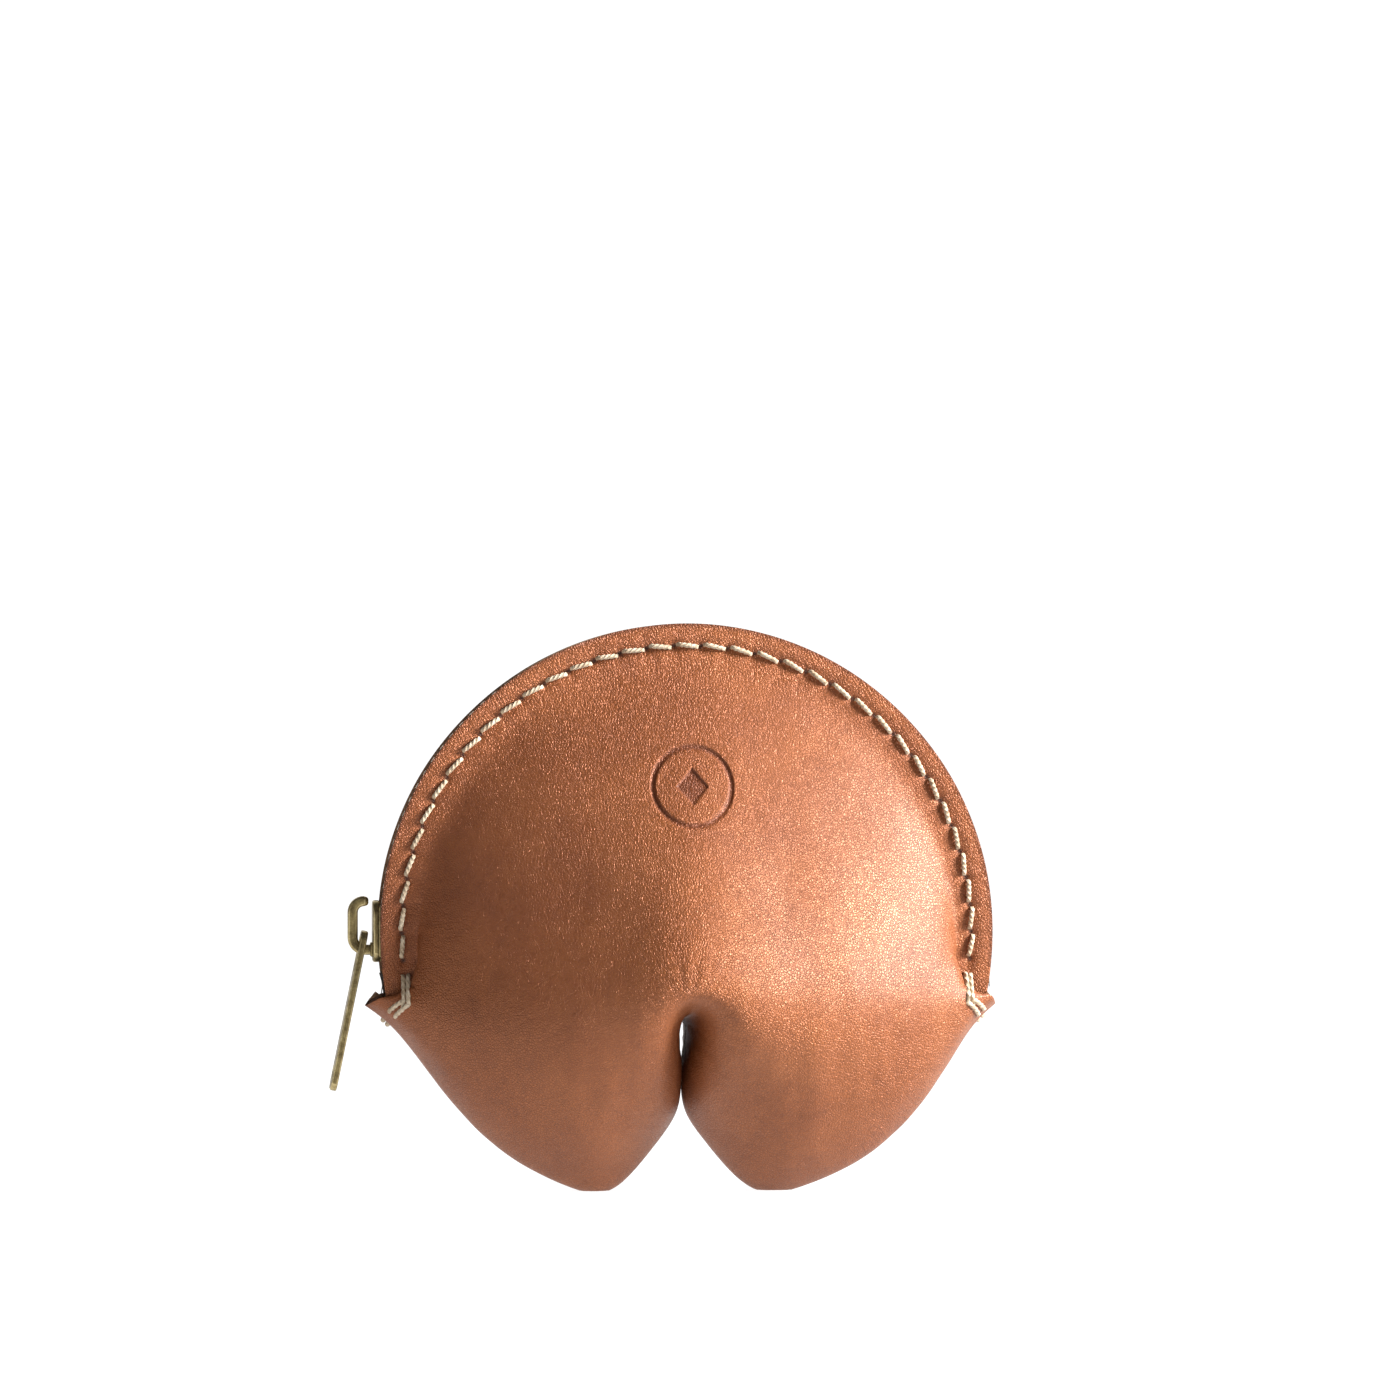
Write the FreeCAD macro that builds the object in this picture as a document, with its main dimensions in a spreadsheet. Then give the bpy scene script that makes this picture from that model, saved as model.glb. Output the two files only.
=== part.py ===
import FreeCAD
import Part
import Sketcher

import math
import os

# Leather zip pouch, folded like a fortune cookie, in millimetres.
# Two round leather panels are joined by a turned seam that runs ear, foot, notch, foot, ear.
# Their free rims carry a zip. +X is right, +Y is back, +Z is up. The origin is on the table,
# midway between the two feet that the pouch stands on.

V = FreeCAD.Vector

# ------------------------------------------------------------------ driving dimensions
DIMENSIONS = [
    ("rim_radius", 52.0, "outer radius of the leather rim"),
    ("rim_height", 44.0, "height of the rim's centre above the table"),
    ("rim_half", 5.7, "from the middle to the outside of one rim"),
    ("rim_end_angle", 102.5, "half the angle that the leather rim covers"),
    ("leather", 1.4, "leather thickness"),
    ("nose_depth", 30.0, "how far the nose reaches in front of the middle"),
    ("allowance", 3.0, "width of the turned-in seam allowance"),
    ("seam_bend", 1.8, "size of the rounded bend beside the seam"),
    ("seam_gap", 0.05, "from the middle to the grain side of an allowance"),
    ("face_crown", 2.2, "how far the face between belly and rim is puffed out"),
    ("stitch_radius", 48.2, "radius of the stitch line"),
    ("stitch_pitch", 4.6, "distance between needle holes"),
    ("stitch_show", 3.6, "length of thread that shows in one stitch"),
    ("stitch_end_angle", 97.0, "half the angle that the stitch line covers"),
    ("thread_radius", 0.4, "radius of the waxed thread"),
    ("stitch_slack", 0.25, "clearance between a rim stitch and the leather"),
    ("thread_lift", 0.35, "clearance between a tack thread and the leather under it"),
    ("tack_slack", 0.45, "how loosely a tack thread spans the hollow under it"),
    ("tape_angle", 100.0, "half the angle that the tapes cover"),
    ("tape_inner", 41.5, "radius of the tape's inner edge"),
    ("tape_radius", 50.0, "radius of the tape's turned edge, underside"),
    ("tape_thick", 0.6, "thickness of the woven tape"),
    ("tape_out", 4.2, "from the middle to the outer side of a tape"),
    ("tape_bead", 1.0, "from the middle to the tape's edge between the teeth"),
    ("teeth_angle", 95.5, "half the angle that the teeth cover"),
    ("tooth_pitch", 2.5, "distance between two teeth on one tape"),
    ("tooth_length", 1.1, "length of a tooth along the tape"),
    ("tooth_under", 49.0, "radius of the underside of the teeth"),
    ("tooth_over", 51.6, "radius of the top of the teeth"),
    ("tooth_leg", 2.5, "from the middle to the end of a tooth's legs"),
    ("tooth_head", 0.3, "from the middle to the tip of a tooth"),
    ("stop_angle", 98.0, "angle of the stops at the ends of the rows of teeth"),
    ("stop_long", 1.4, "length of a stop along the tape"),
    ("stop_wide", 2.4, "from the middle to the outer end of a stop"),
    ("slider_angle", 90.0, "parked angle of the slider, left of the top"),
    ("slider_long", 10.4, "length of the slider's plates"),
    ("slider_half", 3.4, "half the width of the slider"),
    ("plate", 1.15, "thickness of a slider plate"),
    ("nose_corner", 2.4, "radius of the plates' corners at the nose"),
    ("tail_corner", 1.3, "radius of the plates' corners at the tail"),
    ("plate_play", 0.15, "gap between the teeth and the upper plate"),
    ("under_play", 0.45, "gap between the teeth and the lower plate"),
    ("lip_play", 0.1, "gap between the ends of the teeth and a lip"),
    ("divider_from", 4.9, "from the slider's middle to the nose end of its divider"),
    ("divider_to", 3.1, "from the slider's middle to the other end of its divider"),
    ("divider_half", 0.12, "half the thickness of the divider"),
    ("bridge_width", 2.2, "width of the bridge"),
    ("bridge_root", 4.0, "from the slider's middle to the outside of the bridge's root"),
    ("bridge_tip", 6.0, "from the slider's middle to the outside of the bridge's open end"),
    ("eye_root", 2.2, "from the slider's middle to the inside of the bridge's root"),
    ("eye_tip", 4.4, "from the slider's middle to the inside of the bridge's open end"),
    ("eye_corner", 1.2, "radius of the bridge's inner corners"),
    ("bridge_corner", 3.0, "radius of the bridge's outer corners"),
    ("mouth_high", 1.8, "how far the bridge's open end stays above the teeth"),
    ("bridge_bar", 1.7, "thickness of the bridge's bar"),
    ("bridge_top", 57.1, "radius of the top of the bridge"),
    ("pivot_radius", 54.3, "radius of the pull's pivot"),
    ("pivot_ahead", 0.5, "pivot's distance from the slider's middle, towards its nose"),
    ("pull_long", 27.4, "length of the pull"),
    ("pull_wide", 6.6, "width of the pull"),
    ("pull_thick", 1.1, "thickness of the pull"),
    ("pull_bar", 1.1, "length of the pull's crossbar, as thick as the pull so that it can be rounded"),
    ("pull_slot", 6.2, "length of the slot below the crossbar"),
    ("pull_slot_wide", 2.9, "width of that slot"),
    ("pull_hole", 1.2, "radius of the hole near the pull's free end"),
    ("hole_setback", 3.0, "distance of that hole from the free end"),
    ("pull_corner", 1.6, "radius of the pull's four corners"),
    ("pull_lean", 11.5, "angle at which the pull hangs out from the vertical"),
]

doc = FreeCAD.newDocument("zip_pouch")
sheet = doc.addObject("Spreadsheet::Sheet", "Dimensions")
for line, (alias, value, note) in enumerate(DIMENSIONS, start=1):
    sheet.set(f"A{line}", str(value))
    sheet.setAlias(f"A{line}", alias)
    sheet.set(f"B{line}", note)
doc.recompute()
D = {alias: float(sheet.get(alias)) for alias, _, _ in DIMENSIONS}

RIM_CENTRE = V(0, 0, D["rim_height"])
ALONG_Y = V(0, 1, 0)
SUBPARTS = []


def keep(obj, label):
    """Name a finished sub-part after its node."""
    obj.Label = label
    SUBPARTS.append(obj)
    return obj


def feature(label, shape):
    """Keep a shape that Part's functions made as a sub-part."""
    obj = doc.addObject("Part::Feature", label)
    obj.Shape = shape
    return keep(obj, label)


def on_rim(radius, angle, depth=0.0):
    """Point on a circle round the rim's centre; angle in degrees from the top, right positive."""
    a = math.radians(angle)
    return V(radius * math.sin(a), depth, D["rim_height"] + radius * math.cos(a))


# ------------------------------------------------------------------ leather panels
# Each column of the panel's control net runs from the turned seam, over the belly, to the rim.
# One row here is one column, from the middle to the right ear:
# (seam x, seam y, seam z, belly x, belly z, rim angle, fullness between seam and belly, and how
# far both twins of the seam point sit to the right, because the fold is a little uneven)
COLUMNS = [
    (0.0, 0.0, 30.2, 0.0, 35.2, 0.0, 0.9, -0.7),
    (1.1, 0.0, 27.2, 4.2, 34.6, 5.0, 0.9, -0.7),
    (-0.05, 0.0, 22.0, 8.6, 33.0, 11.0, 1.0, -0.7),
    (-0.05, 0.0, 17.0, 12.6, 31.2, 18.0, 1.0, -0.7),
    (0.5, 0.0, 12.6, 16.4, 29.8, 26.0, 0.9, -0.7),
    (4.6, 0.0, 7.4, 20.0, 28.8, 35.0, 0.75, -0.6),
    (9.6, 0.0, 1.2, 23.6, 28.2, 45.0, 0.6, -0.5),
    (14.2, -0.3, -1.2, 27.2, 28.0, 55.0, 0.55, -0.3),
    (20.0, -0.8, 0.4, 31.0, 28.3, 64.0, 0.6, 0.2),
    (29.3, -1.8, 4.6, 35.4, 29.0, 73.0, 0.75, 0.6),
    (37.5, -2.4, 11.6, 40.0, 30.0, 81.0, 0.85, 0.5),
    (43.8, -2.2, 20.2, 44.6, 31.4, 89.0, 0.9, 0.2),
    (49.0, -1.2, 28.0, 48.8, 32.6, 96.5, 0.9, -0.3),
    (53.5, -0.4, 31.4, 51.6, 33.2, 102.5, 0.9, -0.7),
]
EAR_X = COLUMNS[-1][3]
RISE_STEPS = (22.0, 45.0, 67.0)
FACE_STEPS = (0.28, 0.56, 0.82)
BAND_RADII = (45.5, 49.0, 52.0)


def belly_depth(x):
    """Depth of the belly line, in front of the middle, at a distance x from the centre."""
    share = 1.0 - min(x / EAR_X, 1.0) ** 1.6
    return D["rim_half"] + 0.6 + (D["nose_depth"] - D["rim_half"] - 0.6) * share


def seam_inward(columns, i):
    """Unit vector in the XZ plane from the seam towards the inside of the pouch."""
    before = columns[max(i - 1, 0)]
    after = columns[min(i + 1, len(columns) - 1)]
    along = V(after[0] - before[0], 0, after[2] - before[2])
    inward = V(-along.z, 0, along.x)
    return inward.normalize()


def column_points(columns, i, side):
    """One column of poles, from the allowance's raw edge to the rim; side is -1 front, 1 back."""
    seam_x, seam_y, seam_z, belly_x, belly_z, angle, fullness, shift = columns[i]
    seam = V(seam_x + shift, seam_y, seam_z)
    gap = V(0, side * D["seam_gap"], 0)
    inward = seam_inward(columns, i)
    points = [seam + gap + inward * D["allowance"]]
    points.append(seam + gap + inward * (0.55 * D["allowance"]))
    points.append(seam + gap)
    depth = belly_depth(abs(belly_x)) * side
    belly = V(belly_x, depth, belly_z)
    points.append(seam + V(0, side * min(D["seam_bend"], 0.3 * abs(depth - seam_y)), 0))
    for step in RISE_STEPS:
        t = math.radians(step)
        rise = 1.0 - math.cos(t)
        reach = math.sin(t)
        chord = step / 90.0
        rise = fullness * rise + (1.0 - fullness) * chord
        reach = fullness * reach + (1.0 - fullness) * chord
        y = seam.y + (belly.y - seam.y) * reach
        points.append(V(seam.x + (belly.x - seam.x) * rise, y, seam.z + (belly.z - seam.z) * rise))
    points.append(belly)
    band = [on_rim(radius, angle, side * D["rim_half"]) for radius in BAND_RADII]
    for step in FACE_STEPS:
        y = belly.y + (band[0].y - belly.y) * step
        y += side * D["face_crown"] * step * (1.0 - step)
        x = belly.x + (band[0].x - belly.x) * step
        z = belly.z + (band[0].z - belly.z) * step
        points.append(V(x, y, z))
    return points + band


def panel_net(side):
    """All the columns of one panel's outside, from the left ear to the right ear."""
    right = COLUMNS
    left = [(-c[0], c[1], c[2], -c[3], c[4], -c[5], *c[6:]) for c in COLUMNS[:0:-1]]
    columns = left + right
    return [column_points(columns, i, side) for i in range(len(columns))]


def inside_net(net, side):
    """The same net moved one leather thickness inwards."""
    columns = len(net)
    rows = len(net[0])
    inside = []
    for i in range(columns):
        line = []
        for j in range(rows):
            across = net[min(i + 1, columns - 1)][j] - net[max(i - 1, 0)][j]
            up = net[i][min(j + 1, rows - 1)] - net[i][max(j - 1, 0)]
            normal = across.cross(up) * -side
            line.append(net[i][j] - normal.normalize() * D["leather"])
        inside.append(line)
    return inside


def cubic_knots(count):
    """Multiplicities and knots of a clamped cubic with the given number of poles."""
    spans = count - 3
    return [4] + [1] * (spans - 1) + [4], [float(k) for k in range(spans + 1)]


def net_surface(net):
    """Surface of a control net: cubic both ways, or straight across when it has two columns."""
    v_mults, v_knots = cubic_knots(len(net[0]))
    u_degree = 3
    u_mults, u_knots = cubic_knots(len(net))
    if len(net) == 2:
        u_degree = 1
        u_mults, u_knots = [2, 2], [0.0, 1.0]
    surface = Part.BSplineSurface()
    surface.buildFromPolesMultsKnots(
        net, u_mults, v_mults, u_knots, v_knots, False, False, u_degree, 3)
    return surface


def border_walls(outside, inside):
    """The four cut edges of the leather, between the borders of two nets."""
    last_row = len(outside[0]) - 1
    walls = [[outside[0], inside[0]], [outside[-1], inside[-1]]]
    for row in (0, last_row):
        walls.append([[column[row] for column in net] for net in (outside, inside)])
    return [net_surface(wall).toShape() for wall in walls]


def panel_shape(side):
    """One leather panel: outside and inside faces joined along all four edges."""
    outside = panel_net(side)
    inside = inside_net(outside, side)
    outer_surface = net_surface(outside)
    faces = [outer_surface.toShape(), net_surface(inside).toShape()] + border_walls(outside, inside)
    shell = Part.Compound(faces)
    shell.sewShape(1e-4)
    solid = Part.Solid(shell.Shells[0])
    if solid.Volume < 0:
        solid.reverse()
    return solid, outer_surface


def stood_on_table(solid):
    """Flatten the feet where the pouch's weight presses them on the table."""
    under = Part.makeBox(200, 200, 20, V(-100, -100, -20))
    cut = solid.cut(under)
    return max(cut.Solids, key=lambda s: s.Volume)


front_solid, front_outside = panel_shape(-1)
back_solid, back_outside = panel_shape(1)
OUTSIDES = {-1: front_outside, 1: back_outside}
feature("front_panel", stood_on_table(front_solid))
feature("back_panel", stood_on_table(back_solid))


# ------------------------------------------------------------------ thread
def strand(start, end, radius):
    """One straight, round-ended piece of thread."""
    along = end - start
    body = Part.makeCylinder(radius, along.Length, start, along)
    ends = [Part.makeSphere(radius, point) for point in (start, end)]
    return body.multiFuse(ends).removeSplitter()


def on_leather(x, z, side):
    """Middle of a thread that lies on a panel's outside at x, z."""
    surface = OUTSIDES[side]
    hits = surface_hits(surface, x, z)
    hit = max(hits, key=lambda point: side * point.y)
    normal = surface.normal(*surface.parameter(hit))
    if normal.y * side < 0:
        normal = -normal
    return hit + normal * (D["thread_radius"] + D["thread_lift"])


def surface_hits(surface, x, z):
    """Points where a line along Y at x, z crosses a surface."""
    ray = Part.Line(V(x, 0, z), V(x, 1, z))
    return [V(hit.X, hit.Y, hit.Z) for hit in ray.intersectCS(surface)[0]]


def laid_strand(start, end, side):
    """Strand between two (x, z) places, lifted until it clears the leather under it."""
    first = on_leather(*start, side)
    last = on_leather(*end, side)
    lift = 0.0
    for share in (0.15, 0.3, 0.5, 0.7, 0.85):
        chord = first + (last - first) * share
        needed = on_leather(chord.x, chord.z, side)
        lift = max(lift, side * (needed.y - chord.y))
    rise = V(0, side * (lift + D["tack_slack"]), 0)
    return strand(first + rise, last + rise, D["thread_radius"])


def rim_stitching(side):
    """Saddle stitches that hold one tape to its panel, each a separate strand."""
    turn = math.degrees(D["stitch_pitch"] / D["stitch_radius"])
    half = math.degrees(D["stitch_show"] / D["stitch_radius"]) / 2
    count = int(2 * D["stitch_end_angle"] / turn)
    first = -turn * (count - 1) / 2
    depth = side * (D["rim_half"] + D["thread_radius"] + D["stitch_slack"])
    strands = []
    for k in range(count):
        middle = first + k * turn
        start = on_rim(D["stitch_radius"], middle - half, depth)
        end = on_rim(D["stitch_radius"], middle + half, depth)
        strands.append(strand(start, end, D["thread_radius"]))
    return Part.Compound(strands)


# Where the strands of the right end tack start and end, as (x, z); each strand has a twin.
TACK_UPRIGHT = ((47.6, 36.6), (47.6, 32.6))
TACK_DIAGONAL = ((48.2, 31.2), (49.3, 29.9))
TWIN_SHIFT = 0.45
# Middle of the pair that wraps over the seam's edge, which sits a little lower at the left ear.
TACK_WRAP = {1: (50.64, 28.68), -1: (50.97, 28.24)}
WRAP_SHIFT = 0.36
WRAP_HALF = 1.8


def end_tack(mirror):
    """Doubled stitches that close one end of the rim and wrap over its edge; mirror is -1 left."""
    strands = []
    for shift in (-TWIN_SHIFT, TWIN_SHIFT):
        for side in (-1, 1):
            upright = [(mirror * (x + shift), z) for x, z in TACK_UPRIGHT]
            strands.append(laid_strand(*upright, side))
            diagonal = [(mirror * (x + shift), z + shift) for x, z in TACK_DIAGONAL]
            strands.append(laid_strand(*diagonal, side))
        x, z = TACK_WRAP[mirror]
        step = math.copysign(WRAP_SHIFT, shift)
        wrap = [V(mirror * (x + step), end, z + step) for end in (-WRAP_HALF, WRAP_HALF)]
        strands.append(strand(*wrap, D["thread_radius"]))
    return Part.Compound(strands)


feature("front_stitching", rim_stitching(-1))
feature("back_stitching", rim_stitching(1))
feature("left_end_tack", end_tack(-1))
feature("right_end_tack", end_tack(1))


# ------------------------------------------------------------------ zip tapes
def origin_plane(body, role):
    """One of a body's own origin planes or axes."""
    return next(f for f in body.Origin.OriginFeatures if f.Role == role)


def rectangle(body, name, role, corners):
    """Sketch of a rectangle; corners are four expressions: left, low, right, high."""
    sketch = body.newObject("Sketcher::SketchObject", name)
    sketch.AttachmentSupport = [(origin_plane(body, role), "")]
    sketch.MapMode = "FlatFace"
    points = [V(1, 1, 0), V(2, 1, 0), V(2, 2, 0), V(1, 2, 0)]
    for k in range(4):
        sketch.addGeometry(Part.LineSegment(points[k], points[(k + 1) % 4]), False)
    for k in range(4):
        sketch.addConstraint(Sketcher.Constraint("Coincident", k, 2, (k + 1) % 4, 1))
    for k, rule in enumerate(("Horizontal", "Vertical", "Horizontal", "Vertical")):
        sketch.addConstraint(Sketcher.Constraint(rule, k))
    for k, corner in ((0, 0), (2, 2)):
        for axis, expression in (("DistanceX", corners[corner]), ("DistanceY", corners[corner + 1])):
            value = 1.0 if corner == 0 else 2.0
            index = sketch.addConstraint(Sketcher.Constraint(axis, -1, 1, k, 1, value))
            sketch.setExpression(f"Constraints[{index}]", expression)
    return sketch


def tape(label, turn):
    """Woven tape: a ring lying inside the leather rim, with its edge turned towards the middle."""
    body = doc.addObject("PartDesign::Body", label)
    flat = ("Dimensions.tape_out - Dimensions.tape_thick", "Dimensions.tape_inner",
            "Dimensions.tape_out", "Dimensions.tape_radius + Dimensions.tape_thick")
    turned = ("Dimensions.tape_bead", "Dimensions.tape_radius",
              "Dimensions.tape_out", "Dimensions.tape_radius + Dimensions.tape_thick")
    for name, corners in (("flat", flat), ("turned", turned)):
        sketch = rectangle(body, f"{label}_{name}_section", "YZ_Plane", corners)
        ring = body.newObject("PartDesign::Revolution", f"{label}_{name}")
        ring.Profile = sketch
        ring.ReferenceAxis = (sketch, ["H_Axis"])
        ring.Midplane = True
        ring.setExpression("Angle", "2 * Dimensions.tape_angle")
    body.Placement = FreeCAD.Placement(RIM_CENTRE, FreeCAD.Rotation(V(0, 0, 1), turn))
    return keep(body, label)


tape("back_tape", 0)
tape("front_tape", 180)


# ------------------------------------------------------------------ teeth and stops
# Clearance between the tape and the metal that is clamped on it.
PLAY = 0.05


def turned_on_rim(shape, angle):
    """A shape made at the top of the rim, moved round the rim."""
    placed = shape.copy()
    placed.rotate(RIM_CENTRE, ALONG_Y, angle)
    return placed


def rim_box(half_long, near, far, under, over, side):
    """Box at the top of the rim; near and far are distances from the middle."""
    low = min(side * near, side * far)
    corner = V(-half_long, low, D["rim_height"] + under)
    return Part.makeBox(2 * half_long, far - near, over - under, corner)


def tooth(side):
    """One brass tooth: two legs over and under the tape, and a head towards the middle."""
    body = rim_box(D["tooth_length"] / 2, D["tooth_head"], D["tooth_leg"],
                   D["tooth_under"], D["tooth_over"], side)
    slot = rim_box(D["tooth_length"], D["tape_bead"] - PLAY, D["tooth_leg"] + 1,
                   D["tape_radius"] - PLAY, D["tape_radius"] + D["tape_thick"] + PLAY, side)
    return body.cut(slot)


def teeth(side):
    """All the teeth of one tape; the back row sits half a pitch on from the front row."""
    turn = math.degrees(D["tooth_pitch"] / D["tape_radius"])
    shift = 0.5 if side > 0 else 0.0
    reach = int(D["teeth_angle"] / turn)
    steps = [k + shift for k in range(-reach, reach + 1) if k + shift <= reach]
    one = tooth(side)
    return Part.Compound([turned_on_rim(one, step * turn) for step in steps])


def stop(angle, near, side):
    """A small brass clamp on the upper side of the tape, from near the middle outwards."""
    under = D["tape_radius"] + D["tape_thick"] + PLAY
    bar = rim_box(D["stop_long"] / 2, near, D["stop_wide"], under, D["tooth_over"], side)
    return turned_on_rim(bar, angle)


feature("front_teeth", teeth(-1))
feature("back_teeth", teeth(1))
feature("front_top_stop", stop(-D["stop_angle"], D["tooth_head"], -1))
feature("back_top_stop", stop(-D["stop_angle"], D["tooth_head"], 1))
bottom_half = stop(D["stop_angle"], 0.0, 1)
feature("bottom_stop", bottom_half.fuse(bottom_half.mirror(V(0, 0, 0), ALONG_Y)).removeSplitter())


# ------------------------------------------------------------------ slider
# The slider is drawn at the top of the rim, round the rim's centre: its nose points to -X, and
# +Z leads out of the pouch. Its placement then turns it round to where it is parked.
def block(name, spans):
    """Part::Box between pairs of expressions along X, Y and Z."""
    box = doc.addObject("Part::Box", name)
    for axis, size, (low, high) in zip("xyz", ("Length", "Width", "Height"), spans):
        box.setExpression(f"Placement.Base.{axis}", low)
        box.setExpression(size, f"({high}) - ({low})")
    return box


def rounded(name, base, direction, radius, chosen):
    """Part::Fillet on the edges of base along a direction whose middle passes the test chosen."""
    doc.recompute()
    edges = []
    for index, edge in enumerate(base.Shape.Edges, start=1):
        along = edge.tangentAt(edge.FirstParameter)
        middle = edge.valueAt((edge.FirstParameter + edge.LastParameter) / 2)
        if abs(along.dot(direction)) > 0.99 and chosen(middle):
            edges.append((index, radius, radius))
    fillet = doc.addObject("Part::Fillet", name)
    fillet.Base = base
    fillet.Edges = edges
    return fillet


def joined(kind, name, parts):
    """Part::MultiFuse of a list, or Part::Cut of a pair."""
    obj = doc.addObject(kind, name)
    if kind == "Part::Cut":
        obj.Base, obj.Tool = parts
    else:
        obj.Shapes = parts
    return obj


def slider_plate(name, low, high):
    """One of the slider's two plates, with a broad rounded nose and a narrower tail."""
    spans = (("-Dimensions.slider_long / 2", "Dimensions.slider_long / 2"),
             ("-Dimensions.slider_half", "Dimensions.slider_half"), (low, high))
    plate = block(f"{name}_blank", spans)
    nose = rounded(f"{name}_nose", plate, V(0, 0, 1), D["nose_corner"], lambda at: at.x < 0)
    return rounded(name, nose, V(0, 0, 1), D["tail_corner"], lambda at: at.x > 0 and abs(at.y) > 3)


def slider_flanges():
    """Four lips that hold the teeth in the slider and leave a slot for the tape."""
    spans_x = ("-0.4 * Dimensions.slider_long", "0.4 * Dimensions.slider_long")
    lips = {
        "upper_lip": ("Dimensions.tape_radius + Dimensions.tape_thick + 0.2",
                      "Dimensions.tooth_over + Dimensions.plate_play + 0.05"),
        "lower_lip": ("Dimensions.tooth_under - Dimensions.under_play - 0.05",
                      "Dimensions.tape_radius - 0.45"),
    }
    sides = {
        "back": ("Dimensions.tooth_leg + Dimensions.lip_play", "Dimensions.slider_half"),
        "front": ("-Dimensions.slider_half", "-(Dimensions.tooth_leg + Dimensions.lip_play)"),
    }
    return [block(f"{side}_{lip}", (spans_x, sides[side], lips[lip])) for lip in lips for side in sides]


def slider_bridge():
    """Open hook over the upper plate that the pull hangs in; its root is at the nose."""
    across = ("-Dimensions.bridge_width / 2", "Dimensions.bridge_width / 2")
    through = ("-Dimensions.slider_half", "Dimensions.slider_half")
    below = "Dimensions.tooth_over - 1.5"
    outer = block("bridge_blank", (("-Dimensions.bridge_root", "Dimensions.bridge_tip"), across,
                                   ("Dimensions.tooth_over + 0.5", "Dimensions.bridge_top")))
    top = D["bridge_top"] - 0.5 * D["bridge_bar"]
    outer = rounded("bridge_outside", outer, ALONG_Y, D["bridge_corner"], lambda at: at.z > top)
    inner = block("bridge_inside_blank", (("-Dimensions.eye_root", "Dimensions.eye_tip"), through,
                                          (below, "Dimensions.bridge_top - Dimensions.bridge_bar")))
    eye = D["tooth_over"] + 2.0
    inner = rounded("bridge_inside", inner, ALONG_Y, D["eye_corner"], lambda at: at.z > eye)
    mouth = block("bridge_mouth", (("Dimensions.eye_tip - 0.5", "Dimensions.bridge_tip + 1"), through,
                                   (below, "Dimensions.tooth_over + Dimensions.mouth_high")))
    hook = joined("Part::Cut", "bridge_hook", (outer, inner))
    return joined("Part::Cut", "bridge", (hook, mouth))


upper = slider_plate("upper_plate", "Dimensions.tooth_over + Dimensions.plate_play",
                     "Dimensions.tooth_over + Dimensions.plate_play + Dimensions.plate")
lower = slider_plate("lower_plate",
                     "Dimensions.tooth_under - Dimensions.under_play - Dimensions.plate",
                     "Dimensions.tooth_under - Dimensions.under_play")
divider = block("divider", (("-Dimensions.divider_from", "-Dimensions.divider_to"),
                            ("-Dimensions.divider_half", "Dimensions.divider_half"),
                            ("Dimensions.tooth_under - Dimensions.under_play - 0.15",
                             "Dimensions.tooth_over + Dimensions.plate_play + 0.15")))
slider = joined("Part::MultiFuse", "slider_body",
                [upper, lower, divider, slider_bridge()] + slider_flanges())
PARKED = FreeCAD.Rotation(ALONG_Y, -D["slider_angle"])
slider.Placement = FreeCAD.Placement(RIM_CENTRE, PARKED)
keep(slider, "slider_body")


# ------------------------------------------------------------------ pull
# Drawn hanging straight down from its pivot: X is its thickness, Y its width.
def pull_outline(body):
    """The flat plate of the pull, with its pivot at the middle of the crossbar."""
    outline = rectangle(body, "pull_outline", "YZ_Plane", (
        "-Dimensions.pull_wide / 2", "Dimensions.pull_bar / 2 - Dimensions.pull_long",
        "Dimensions.pull_wide / 2", "Dimensions.pull_bar / 2"))
    plate = body.newObject("PartDesign::Pad", "pull_plate")
    plate.Profile = outline
    plate.Midplane = True
    plate.setExpression("Length", "Dimensions.pull_thick")


def through_pocket(body, name, outline):
    """Cut an outline right through the pull."""
    pocket = body.newObject("PartDesign::Pocket", name)
    pocket.Profile = outline
    pocket.Type = "ThroughAll"
    pocket.Midplane = True
    return pocket


def rounded_edges(body, name, base, direction, radius, chosen):
    """PartDesign fillet on the edges of base along a direction whose middle passes a test."""
    doc.recompute()
    edges = []
    for index, edge in enumerate(base.Shape.Edges, start=1):
        along = edge.tangentAt(edge.FirstParameter)
        middle = edge.valueAt((edge.FirstParameter + edge.LastParameter) / 2)
        if abs(along.dot(direction)) > 0.99 and chosen(middle):
            edges.append(f"Edge{index}")
    fillet = body.newObject("PartDesign::Fillet", name)
    fillet.Base = (base, edges)
    fillet.Radius = radius
    return fillet


def hole_outline(body):
    """Circle near the pull's free end, with its radius and place driven by the table."""
    circle = body.newObject("Sketcher::SketchObject", "pull_hole_outline")
    circle.AttachmentSupport = [(origin_plane(body, "YZ_Plane"), "")]
    circle.MapMode = "FlatFace"
    drop = D["pull_long"] - D["pull_bar"] / 2 - D["hole_setback"]
    circle.addGeometry(Part.Circle(V(0, -drop, 0), V(0, 0, 1), D["pull_hole"]), False)
    circle.addConstraint(Sketcher.Constraint("PointOnObject", 0, 3, -2))
    index = circle.addConstraint(Sketcher.Constraint("Radius", 0, D["pull_hole"]))
    circle.setExpression(f"Constraints[{index}]", "Dimensions.pull_hole")
    index = circle.addConstraint(Sketcher.Constraint("DistanceY", 0, 3, -1, 1, drop))
    circle.setExpression(f"Constraints[{index}]",
                         "Dimensions.pull_long - Dimensions.pull_bar / 2 - Dimensions.hole_setback")
    return circle


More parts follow.
